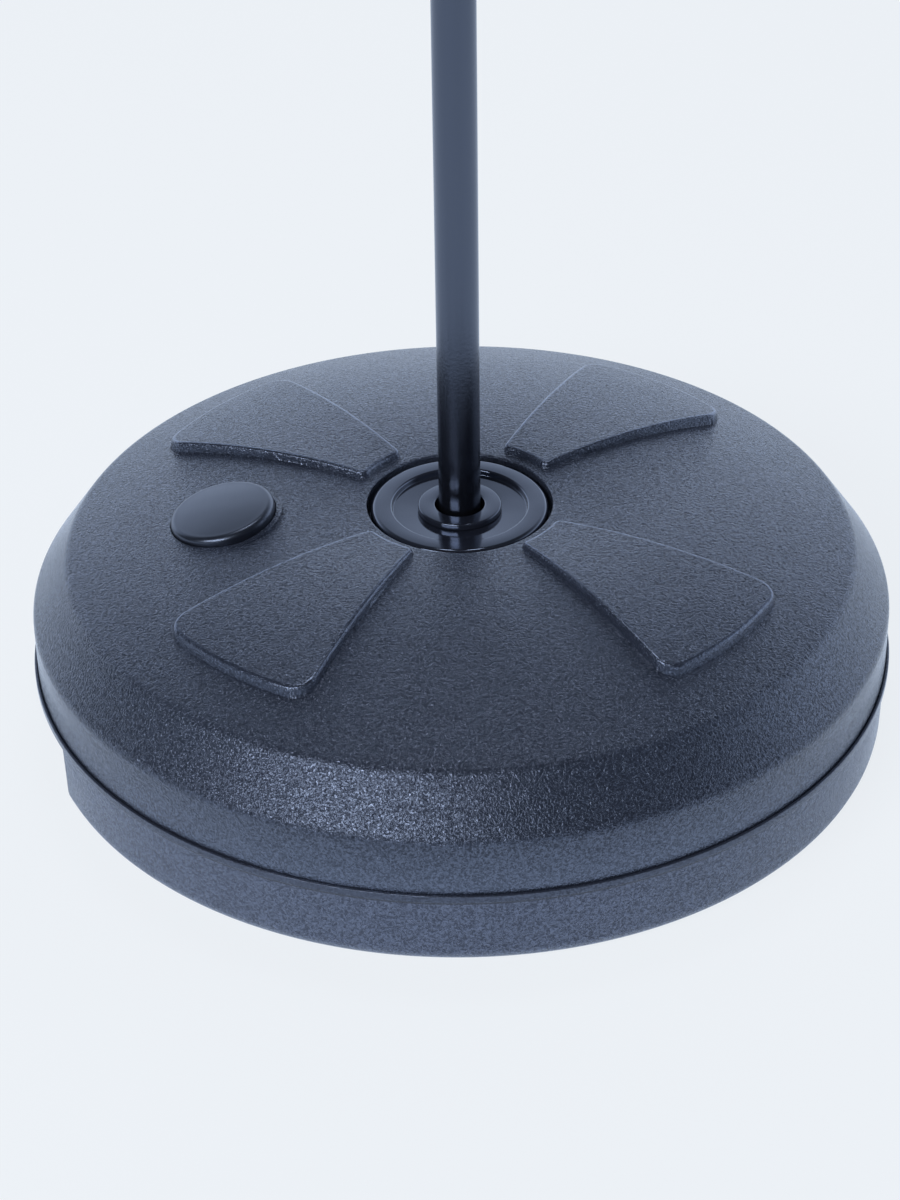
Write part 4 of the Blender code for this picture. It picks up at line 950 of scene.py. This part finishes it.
crown = []
flat_radius = PLUG_RADIUS - PLUG_ROLL
for step in range(CROWN_POINTS + 1):
    radius = flat_radius * step / CROWN_POINTS
    height = PLUG_EDGE + (PLUG_TOP - PLUG_EDGE) * (1 - (radius / flat_radius) ** 2)
    crown.append(Vector((radius, height)))
rolled_edge = section(
    [
        (flat_radius, PLUG_EDGE, 0),
        (PLUG_RADIUS, PLUG_EDGE - 0.0002, PLUG_ROLL - 0.0004),
        (PLUG_RADIUS, PLUG_UNDERSIDE, 0.0004),
        (PLUG_SKIRT_RADIUS, PLUG_UNDERSIDE, 0.0004),
        (PLUG_SKIRT_RADIUS, PLUG_SKIRT_END, 0.0008),
        (PLUG_HOLLOW_RADIUS, PLUG_SKIRT_END, 0.0006),
        (PLUG_HOLLOW_RADIUS, PLUG_UNDERSIDE, 0.0010),
        (0, PLUG_UNDERSIDE, 0),
    ],
    10,
)
plug = spin_section(crown + rolled_edge[1:], ROUND_STEPS, closed=False)
bmesh.ops.transform(plug, matrix=plug_place, verts=plug.verts[:])
fill_plug = finished("plug_moulding", plug, 50)
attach(fill_plug, "plug")
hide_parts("fill_plug")
print("plug faces:", len(fill_plug.data.polygons))

# %% [markdown]
# ## Smooth plastic
# The cover, the ring and the plug come from polished moulds. A polished moulding is never quite
# even: it has faint long waves from shrinking, a very fine satin, and hairline scuffs that show
# only in a reflection.

# %% Smooth plastic

def smooth_plastic(name, colour, roughness, wave_height, scuff_depth):
    """A dark polished moulding with long waves, faint scuffs and uneven gloss."""
    material = bpy.data.materials.new(name)
    tree, shader, link = shader_parts(material)
    shader.inputs["Specular IOR Level"].default_value = 0.90
    shader.inputs["Base Color"].default_value = (*colour, 1)
    shader.inputs["IOR"].default_value = PLASTIC_IOR
    shader.inputs["Specular Tint"].default_value = (*COOL_SHEEN, 1)
    place = tree.nodes.new("ShaderNodeTexCoord").outputs["Object"]
    waves = add_noise(tree, place, 45.0, 1.0)
    along = stretched(tree, place, (1500, 60, 400), math.radians(34))
    scuffs = add_noise(tree, along, 1.0, 2.0)
    wave_relief = add_relief(tree, waves.outputs["Fac"], wave_height)
    scuff_relief = add_relief(tree, scuffs.outputs["Fac"], scuff_depth, wave_relief)
    link(scuff_relief.outputs["Normal"], shader.inputs["Normal"])
    gloss = add_range(tree, scuffs.outputs["Fac"], roughness, roughness + 0.05, 0.35, 0.75)
    link(gloss, shader.inputs["Roughness"])
    return material


cover_gloss = smooth_plastic("polished_cover", (0.016, 0.018, 0.026), 0.08, 0.00012, 0.000003)
plug_satin = smooth_plastic("satin_bung", (0.008, 0.009, 0.013), 0.30, 0.00016, 0.000004)
coat(centre_cover, cover_gloss)
coat(trim_ring, cover_gloss)
coat(fill_plug, plug_satin)
print("polished and satin mouldings are done")

# %% [markdown]
# ## The pole and the mast
# The pole is plain steel tube with a baked powder coat. Powder flows a little before it sets, so
# the gloss is soft and the skin has the faint pebbles of orange peel. The thinner mast slides
# inside it. On both, the gloss is uneven in long streaks, as on a tube that is often handled.

# %% Two tubes
POLE_RADIUS = 0.0125
POLE_WALL = 0.0012
POLE_FOOT_Z = 0.0163
POLE_TOP_Z = 0.7623
MAST_RADIUS = 0.0095
MAST_WALL = 0.0010
MAST_FOOT_Z = 0.3800
MAST_TOP_Z = 1.3300
TUBE_STEPS = 96


def tube(name, radius, wall, low, high):
    """A tube with slightly broken ends."""
    ring_marks = 12
    outer = [Vector((radius, low + (high - low) * step / ring_marks)) for step in range(1, ring_marks)]
    corners = [(radius - wall, low, 0.0003), (radius, low, 0.0004)]
    start = section([(radius - wall, low + 0.01, 0)] + corners + [(radius, low + 0.01, 0)], 3)
    end = [Vector((point.x, low + high - point.y)) for point in reversed(start)]
    return finished(name, spin_section(start + outer + end, TUBE_STEPS), 50)


pole = tube("pole_tube", POLE_RADIUS, POLE_WALL, POLE_FOOT_Z, POLE_TOP_Z)
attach(pole, "base")
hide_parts("lower_tube")
mast = tube("mast_tube", MAST_RADIUS, MAST_WALL, MAST_FOOT_Z, MAST_TOP_Z)
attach(mast, "mast")
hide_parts("upper_tube")
print("pole", round(POLE_TOP_Z - POLE_FOOT_Z, 3), "m, mast", round(MAST_TOP_Z - MAST_FOOT_Z, 3), "m")

# %% Powder coat

def powder_coat(name, colour, roughness, peel_size, peel_height, ior):
    """A baked powder coat with orange peel and gloss that is uneven in long streaks."""
    material = bpy.data.materials.new(name)
    tree, shader, link = shader_parts(material)
    shader.inputs["Base Color"].default_value = (*colour, 1)
    shader.inputs["IOR"].default_value = ior
    shader.inputs["Specular Tint"].default_value = (*COOL_SHEEN, 1)
    place = tree.nodes.new("ShaderNodeTexCoord").outputs["Object"]
    peel = add_noise(tree, place, 1 / peel_size, 1.5)
    relief = add_relief(tree, peel.outputs["Fac"], peel_height)
    link(relief.outputs["Normal"], shader.inputs["Normal"])
    streaks = add_noise(tree, stretched(tree, place, (240, 240, 7)), 1.0, 3.0)
    gloss = add_range(tree, streaks.outputs["Fac"], roughness - 0.05, roughness + 0.05, 0.3, 0.7)
    link(gloss, shader.inputs["Roughness"])
    return material


black_coat = powder_coat("black_powder_coat", (0.004, 0.004, 0.005), 0.22, 0.0018, 0.00006, 2.12)
coat(pole, black_coat)
coat(mast, black_coat)
print("powder coat on both tubes")

# %% [markdown]
# ## Height clamp
# The mast is held by a moulded collar pressed on the pole's end, with a lobed knob whose stud
# bears on the mast. A hand turns the knob, so its lobes are full and its edges are rounded.

# %% Collar and mast cap
COLLAR_RADIUS = 0.0185
COLLAR_LOW = 0.7363
COLLAR_TOP = 0.7863
COLLAR_BOSS = 0.0115
COLLAR_REACH = 0.0290
SLIDE_CLEARANCE = 0.0003
KNOB_Z = 0.7743
NUT_LOW_X = 0.0155
NUT_HIGH_X = 0.0211
NUT_HALF_WIDTH = 0.0053
NUT_HALF_HEIGHT = 0.0061
STUD_RADIUS = 0.0030
MAST_CAP_TOP = 1.3350

knob_place = Matrix.Translation((0, 0, KNOB_Z)) @ Matrix.Rotation(math.radians(90), 4, "Y")
collar_corners = [
    (MAST_RADIUS + SLIDE_CLEARANCE, COLLAR_TOP, 0.0005),
    (COLLAR_RADIUS - 0.0020, COLLAR_TOP, 0.0015),
    (COLLAR_RADIUS, COLLAR_LOW, 0.0010),
    (POLE_RADIUS + SLIDE_CLEARANCE, COLLAR_LOW, 0.0003),
    (POLE_RADIUS + SLIDE_CLEARANCE, POLE_TOP_Z + 0.0003, 0),
    (MAST_RADIUS + SLIDE_CLEARANCE, POLE_TOP_Z + 0.0003, 0),
]
collar_points = section(collar_corners, 5, closed=True)
collar = finished("clamp_collar_moulding", spin_section(collar_points, TUBE_STEPS), 40)
boss = closed_cylinder(COLLAR_BOSS, MAST_RADIUS + 0.003, COLLAR_REACH, 48, knob_place)
combine(collar, finished("boss", round_long_edges(boss, 0.0008, 3)), "UNION")
stud_bore = closed_cylinder(
    STUD_RADIUS + SLIDE_CLEARANCE, 0, COLLAR_REACH + 0.002, 32, knob_place,
)
combine(collar, finished("stud_bore", stud_bore), "DIFFERENCE")
nut_slot = bmesh.new()
bmesh.ops.create_cube(nut_slot, size=1)
for vert in nut_slot.verts:
    vert.co.x = NUT_HIGH_X if vert.co.x > 0 else NUT_LOW_X
    vert.co.y = math.copysign(NUT_HALF_WIDTH, vert.co.y)
    vert.co.z = COLLAR_TOP + 0.002 if vert.co.z > 0 else KNOB_Z - NUT_HALF_HEIGHT
combine(collar, finished("nut_slot", nut_slot), "DIFFERENCE")
collar.data.shade_smooth()
collar.data.set_sharp_from_angle(angle=math.radians(40))
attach(collar, "base")
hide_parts("clamp_collar")

cap_corners = [
    (0, MAST_CAP_TOP, 0),
    (MAST_RADIUS, MAST_CAP_TOP - 0.0005, 0.0022),
    (MAST_RADIUS, MAST_TOP_Z + 0.0003, 0.0003),
    (MAST_RADIUS - MAST_WALL - 0.0003, MAST_TOP_Z + 0.0003, 0),
    (MAST_RADIUS - MAST_WALL - 0.0003, MAST_TOP_Z - 0.014, 0),
    (0, MAST_TOP_Z - 0.014, 0),
]
mast_cap = finished("mast_cap_moulding", spin_section(section(cap_corners), 64, closed=False), 40)
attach(mast_cap, "mast")
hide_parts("mast_cap")
print("collar faces:", len(collar.data.polygons))

# %% Knob
KNOB_RADIUS = 0.0170
KNOB_LOBES = 5
KNOB_LOBE_HEIGHT = 0.0022
KNOB_LOW = 0.0293
KNOB_HEAD_LOW = 0.0333
KNOB_HEAD_TOP = 0.0463
KNOB_HUB_RADIUS = 0.0085
KNOB_POINTS = 24

knob = bmesh.new()
bmesh.ops.create_circle(knob, cap_ends=True, segments=KNOB_LOBES * KNOB_POINTS, radius=1)
for vert in knob.verts:
    angle = math.atan2(vert.co.y, vert.co.x)
    lobe = KNOB_RADIUS - KNOB_LOBE_HEIGHT * (1 - math.cos(KNOB_LOBES * angle))
    vert.co = (lobe * math.cos(angle), lobe * math.sin(angle), KNOB_HEAD_LOW)
raised = bmesh.ops.extrude_face_region(knob, geom=knob.faces[:])["geom"]
top = [item for item in raised if isinstance(item, bmesh.types.BMVert)]
bmesh.ops.translate(knob, verts=top, vec=(0, 0, KNOB_HEAD_TOP - KNOB_HEAD_LOW))
bmesh.ops.recalc_face_normals(knob, faces=knob.faces[:])
rims = [edge for edge in knob.edges if abs(edge.verts[0].co.z - edge.verts[1].co.z) < 0.00001]
bmesh.ops.bevel(
    knob, geom=rims, offset=0.0022, offset_type="OFFSET", segments=5, profile=0.5,
    affect="EDGES", material=-1, clamp_overlap=True,
)
bmesh.ops.transform(knob, matrix=knob_place, verts=knob.verts[:])
clamp_knob = finished("clamp_knob_moulding", knob, 50)
hub = closed_cylinder(KNOB_HUB_RADIUS, KNOB_LOW, KNOB_HEAD_LOW + 0.004, 48, knob_place)
combine(clamp_knob, finished("hub", hub), "UNION")
clamp_knob.data.shade_smooth()
clamp_knob.data.set_sharp_from_angle(angle=math.radians(50))
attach(clamp_knob, "knob")
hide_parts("clamp_knob")
print("knob faces:", len(clamp_knob.data.polygons))

# %% [markdown]
# ## The board
# The board is a moulded panel, thin in the middle and stiffened by a rim round its back. Its front
# is bare and its corners are round. The front edge has a small rounding all the way along.

# %% Board with its rim
BOARD_WIDTH = 0.4200
BOARD_HEIGHT = 0.3000
BOARD_CORNER = 0.0250
BOARD_RIM = 0.0120
BOARD_Z = 1.2400
BOARD_FRONT_Y = -0.0315
BOARD_BACK_Y = -0.0265
BOARD_RIM_BACK_Y = -0.0205
CORNER_POINTS = 12


def rounded_plate(width, height, corner, pieces, front_y, back_y, middle_z):
    """A flat plate with round corners that stands in the XZ plane."""
    corners = [
        (width / 2, height / 2, corner), (-width / 2, height / 2, corner),
        (-width / 2, -height / 2, corner), (width / 2, -height / 2, corner),
    ]
    outline = section(corners, pieces, closed=True)
    bm = bmesh.new()
    bmesh.ops.create_circle(bm, cap_ends=True, segments=len(outline), radius=1)
    bm.verts.ensure_lookup_table()
    for vert, point in zip(bm.verts, outline):
        vert.co = (point.x, front_y, middle_z + point.y)
    raised = bmesh.ops.extrude_face_region(bm, geom=bm.faces[:])["geom"]
    back = [item for item in raised if isinstance(item, bmesh.types.BMVert)]
    bmesh.ops.translate(bm, verts=back, vec=(0, back_y - front_y, 0))
    bmesh.ops.recalc_face_normals(bm, faces=bm.faces[:])
    return bm


def round_flat_edges(bm, size, pieces):
    """Rounds the edges that run round a standing plate."""
    rims = [edge for edge in bm.edges if abs(edge.verts[0].co.y - edge.verts[1].co.y) < 0.00001]
    bmesh.ops.bevel(
        bm, geom=rims, offset=size, offset_type="OFFSET", segments=pieces, profile=0.5,
        affect="EDGES", material=-1, clamp_overlap=True,
    )
    return bm


board = rounded_plate(
    BOARD_WIDTH, BOARD_HEIGHT, BOARD_CORNER, CORNER_POINTS, BOARD_FRONT_Y, BOARD_RIM_BACK_Y, BOARD_Z,
)
backboard = finished("board_moulding", round_flat_edges(board, 0.0015, 4), 40)
recess = rounded_plate(
    BOARD_WIDTH - 2 * BOARD_RIM, BOARD_HEIGHT - 2 * BOARD_RIM, BOARD_CORNER - BOARD_RIM,
    CORNER_POINTS, BOARD_BACK_Y, BOARD_RIM_BACK_Y + 0.01, BOARD_Z,
)
combine(backboard, finished("recess", recess), "DIFFERENCE")
backboard.data.shade_smooth()
backboard.data.set_sharp_from_angle(angle=math.radians(40))
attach(backboard, "mast")
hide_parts("backboard_panel")
print("board faces:", len(backboard.data.polygons))

# %% [markdown]
# ## The ring
# The ring is a round bar bent into a hoop and welded to a plate, with a flat tab, two braces and
# ten small hooks below it for the net. It is coated after welding, so it is one colour all over.

# %% Ring, plate, tab, braces and hooks
RING_Z = 1.1800
RING_RADIUS = 0.1050
RING_ROD = 0.0050
RING_FORWARD = 0.1480
PLATE_WIDTH = 0.0920
PLATE_HEIGHT = 0.1340
PLATE_BACK_Y = -0.0318
PLATE_FRONT_Y = -0.0348
TAB_HALF_WIDTH = 0.0276
TAB_HALF_HEIGHT = 0.0030
BRACE_ROD = 0.0035
BRACE_ANGLE = math.radians(60)
HOOK_ROD = 0.0013
HOOK_HALF_WIDTH = 0.0037
HOOK_DROP = 0.0109
NET_COLUMNS = 10
ROD_SIDES = 24

ring_centre = Vector((0, -RING_FORWARD, RING_Z))


def rod_along(bm, points, radius, sides):
    """A round rod through a row of points, with closed ends, added to a mesh."""
    for first, second in zip(points, points[1:]):
        run = second - first
        turn = run.to_track_quat("Z", "Y").to_matrix().to_4x4()
        middle = Matrix.Translation((first + second) / 2) @ turn
        bmesh.ops.create_cone(
            bm, cap_ends=True, segments=sides, radius1=radius, radius2=radius,
            depth=run.length, matrix=middle,
        )
    for point in points[1:-1]:
        bmesh.ops.create_icosphere(
            bm, subdivisions=2, radius=radius, matrix=Matrix.Translation(point),
        )


ring_bm = bmesh.new()
bmesh.ops.create_circle(
    ring_bm, segments=ROD_SIDES, radius=RING_ROD,
    matrix=Matrix.Translation((RING_RADIUS, 0, 0)) @ Matrix.Rotation(math.radians(90), 4, "X"),
)
bmesh.ops.spin(
    ring_bm, geom=ring_bm.verts[:] + ring_bm.edges[:], cent=(0, 0, 0), axis=(0, 0, 1),
    angle=math.tau, steps=160, use_merge=True,
)
bmesh.ops.remove_doubles(ring_bm, verts=ring_bm.verts[:], dist=0.000001)
bmesh.ops.recalc_face_normals(ring_bm, faces=ring_bm.faces[:])
bmesh.ops.translate(ring_bm, verts=ring_bm.verts[:], vec=ring_centre)

plate = rounded_plate(
    PLATE_WIDTH, PLATE_HEIGHT, 0.0020, 3, PLATE_FRONT_Y, PLATE_BACK_Y, RING_Z,
)
plate_mesh = bpy.data.meshes.new("plate")
round_flat_edges(plate, 0.0006, 3).to_mesh(plate_mesh)
ring_bm.from_mesh(plate_mesh)

tab_end = -RING_FORWARD + math.sqrt(RING_RADIUS ** 2 - TAB_HALF_WIDTH ** 2)
tab = bmesh.ops.create_cube(ring_bm, size=1)["verts"]
for vert in tab:
    vert.co.x = math.copysign(TAB_HALF_WIDTH, vert.co.x)
    vert.co.y = PLATE_FRONT_Y + 0.001 if vert.co.y > 0 else tab_end
    vert.co.z = RING_Z + math.copysign(TAB_HALF_HEIGHT, vert.co.z)

for side in (-1, 1):
    foot = Vector((side * PLATE_WIDTH * 0.46, PLATE_FRONT_Y - 0.0011, RING_Z - PLATE_HEIGHT * 0.42))
    angle = math.radians(90) - side * BRACE_ANGLE
    reach = RING_RADIUS + RING_ROD * 1.3
    head = ring_centre + Vector((reach * math.cos(angle), reach * math.sin(angle), 0))
    rod_along(ring_bm, [foot, head], BRACE_ROD, ROD_SIDES)

hook_shape = [
    (-HOOK_HALF_WIDTH, -RING_ROD * 0.4), (-HOOK_HALF_WIDTH, -HOOK_DROP + 0.0012),
    (-HOOK_HALF_WIDTH + 0.0012, -HOOK_DROP), (HOOK_HALF_WIDTH - 0.0012, -HOOK_DROP),
    (HOOK_HALF_WIDTH, -HOOK_DROP + 0.0012), (HOOK_HALF_WIDTH, -RING_ROD * 0.4),
]
for index in range(NET_COLUMNS):
    angle = index * math.tau / NET_COLUMNS
    outward = Vector((math.cos(angle), math.sin(angle), 0))
    spot = ring_centre + outward * RING_RADIUS
    points = [spot + outward * along + Vector((0, 0, up)) for along, up in hook_shape]
    rod_along(ring_bm, points, HOOK_ROD, 10)

hoop = finished("ring_weldment", ring_bm, 40)
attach(hoop, "mast")
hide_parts("ring")
print("ring faces:", len(hoop.data.polygons))

# %% [markdown]
# ## The net
# The net is knotted from one cord in diamonds that narrow downwards. Each run between two knots
# sags a little, and each knot is a small lump wider than the cord.

# %% Knotted net
NET_ROWS = 4
NET_LENGTH = 0.2100
NET_BOTTOM_RADIUS = 0.0620
NET_TOP_Z = RING_Z - RING_ROD - 0.0011
CORD_RADIUS = 0.0012
KNOT_RADIUS = 0.0024
CORD_SIDES = 10
CORD_RUNS = 3

net_bm = bmesh.new()
levels = 2 * NET_ROWS
knots = []
for level in range(levels + 1):
    share = level / levels
    radius = RING_RADIUS + (NET_BOTTOM_RADIUS - RING_RADIUS) * (1 - (1 - share) ** 1.6)
    row = []
    for column in range(NET_COLUMNS):
        angle = math.tau * (column + 0.5 * (level % 2)) / NET_COLUMNS
        spot = Vector((radius * math.cos(angle), radius * math.sin(angle), 0))
        row.append(Vector((0, -RING_FORWARD, NET_TOP_Z - share * NET_LENGTH)) + spot)
    knots.append(row)

for level in range(levels):
    for column in range(NET_COLUMNS):
        start = knots[level][column]
        nearer = column if level % 2 == 0 else (column + 1) % NET_COLUMNS
        further = (column - 1) % NET_COLUMNS if level % 2 == 0 else column
        for end in (knots[level + 1][nearer], knots[level + 1][further]):
            runs = []
            for step in range(CORD_RUNS + 1):
                share = step / CORD_RUNS
                sag = Vector((0, 0, -0.0012)) * math.sin(math.pi * share)
                runs.append(start.lerp(end, share) + sag)
            rod_along(net_bm, runs, CORD_RADIUS, CORD_SIDES)

for level, row in enumerate(knots):
    for knot in row:
        squash = Matrix.Diagonal((1, 1, 1.25, 1))
        size = KNOT_RADIUS if level else CORD_RADIUS * 1.2
        bmesh.ops.create_icosphere(
            net_bm, subdivisions=2, radius=size, matrix=Matrix.Translation(knot) @ squash,
        )

net = finished("knotted_net", net_bm, 60)
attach(net, "mast")
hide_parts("net")
print("net faces:", len(net.data.polygons))

# %% [markdown]
# ## Finishes of the small parts
# Zinc-plated screws and nuts are bright but cloudy. Nylon fittings are black and a little waxy.
# Rubber is nearly black and dull. The ring's powder coat is the same kind as the pole's, in orange.
# The board is pale and finely pebbled, and the net is plain cord.

# %% Zinc, nylon and rubber

def zinc_plate(name):
    """Bright zinc plate, clouded in patches."""
    material = bpy.data.materials.new(name)
    tree, shader, link = shader_parts(material)
    shader.inputs["Metallic"].default_value = 1.0
    place = tree.nodes.new("ShaderNodeTexCoord").outputs["Object"]
    clouds = add_noise(tree, place, 260.0, 4.0).outputs["Fac"]
    tint = add_ramp(tree, clouds, (0.46, 0.47, 0.49), (0.62, 0.63, 0.64), 0.35, 0.70)
    link(tint, shader.inputs["Base Color"])
    link(add_range(tree, clouds, 0.24, 0.46), shader.inputs["Roughness"])
    link(add_relief(tree, clouds, 0.00003).outputs["Normal"], shader.inputs["Normal"])
    return material


zinc = zinc_plate("zinc_plate")
nylon = moulded_grain("black_nylon", (0.028, 0.028, 0.031), 0.38, 0.0009, 0.00010, 0.0003, 0.00004)
rubber = moulded_grain("black_rubber", (0.016, 0.016, 0.017), 0.72, 0.0014, 0.00010, 0.0004, 0.00008)
ring_coat = powder_coat("orange_powder_coat", (0.62, 0.10, 0.015), 0.36, 0.0016, 0.00008, 1.5)
coat(collar, nylon)
coat(clamp_knob, nylon)
coat(mast_cap, rubber)
coat(hoop, ring_coat)
print("zinc, nylon, rubber and orange coat are ready")

# %% Board and cord

def pebbled_board(name):
    """A pale moulded panel with fine pebbles and faint handling marks."""
    material = bpy.data.materials.new(name)
    tree, shader, link = shader_parts(material)
    place = tree.nodes.new("ShaderNodeTexCoord").outputs["Object"]
    pebbles = tree.nodes.new("ShaderNodeTexVoronoi")
    pebbles.feature = "SMOOTH_F1"
    pebbles.inputs["Scale"].default_value = 900.0
    link(place, pebbles.inputs["Vector"])
    relief = add_relief(tree, pebbles.outputs["Distance"], 0.00010)
    link(relief.outputs["Normal"], shader.inputs["Normal"])
    marks = add_noise(tree, place, 9.0, 6.0).outputs["Fac"]
    tint = add_ramp(tree, marks, (0.70, 0.70, 0.68), (0.79, 0.79, 0.78), 0.30, 0.62)
    link(tint, shader.inputs["Base Color"])
    link(add_range(tree, marks, 0.34, 0.50), shader.inputs["Roughness"])
    return material


def knotted_cord(name):
    """Off-white cord with the fine diagonal ridges of its twist."""
    material = bpy.data.materials.new(name)
    tree, shader, link = shader_parts(material)
    shader.inputs["Roughness"].default_value = 0.85
    shader.inputs["Sheen Weight"].default_value = 0.25
    place = tree.nodes.new("ShaderNodeTexCoord").outputs["Object"]
    twist = tree.nodes.new("ShaderNodeTexWave")
    twist.wave_type = "BANDS"
    twist.bands_direction = "DIAGONAL"
    twist.inputs["Scale"].default_value = 260.0
    twist.inputs["Distortion"].default_value = 1.5
    link(place, twist.inputs["Vector"])
    relief = add_relief(tree, twist.outputs["Fac"], 0.00035)
    link(relief.outputs["Normal"], shader.inputs["Normal"])
    tint = add_ramp(tree, twist.outputs["Fac"], (0.62, 0.61, 0.58), (0.80, 0.79, 0.77))
    link(tint, shader.inputs["Base Color"])
    return material


coat(backboard, pebbled_board("pale_board"))
coat(net, knotted_cord("net_cord"))
print("board and net are ready")

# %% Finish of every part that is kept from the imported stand
KEPT_FINISHES = {
    zinc: ["base_screw_", "anchor_", "u_bolt_", "ring_bolt_", "ring_nut_", "clamp_nut", "clamp_stud"],
    nylon: ["foot_insert", "guide_bush"],
    rubber: ["rim_seal", "plug_seal_ring"],
    black_coat: ["board_bracket"],
}
dressed = 0
for finish, beginnings in KEPT_FINISHES.items():
    for name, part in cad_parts.items():
        if any(name.startswith(beginning) for beginning in beginnings):
            coat(part, finish)
            dressed += 1
print("kept parts with a new finish:", dressed)
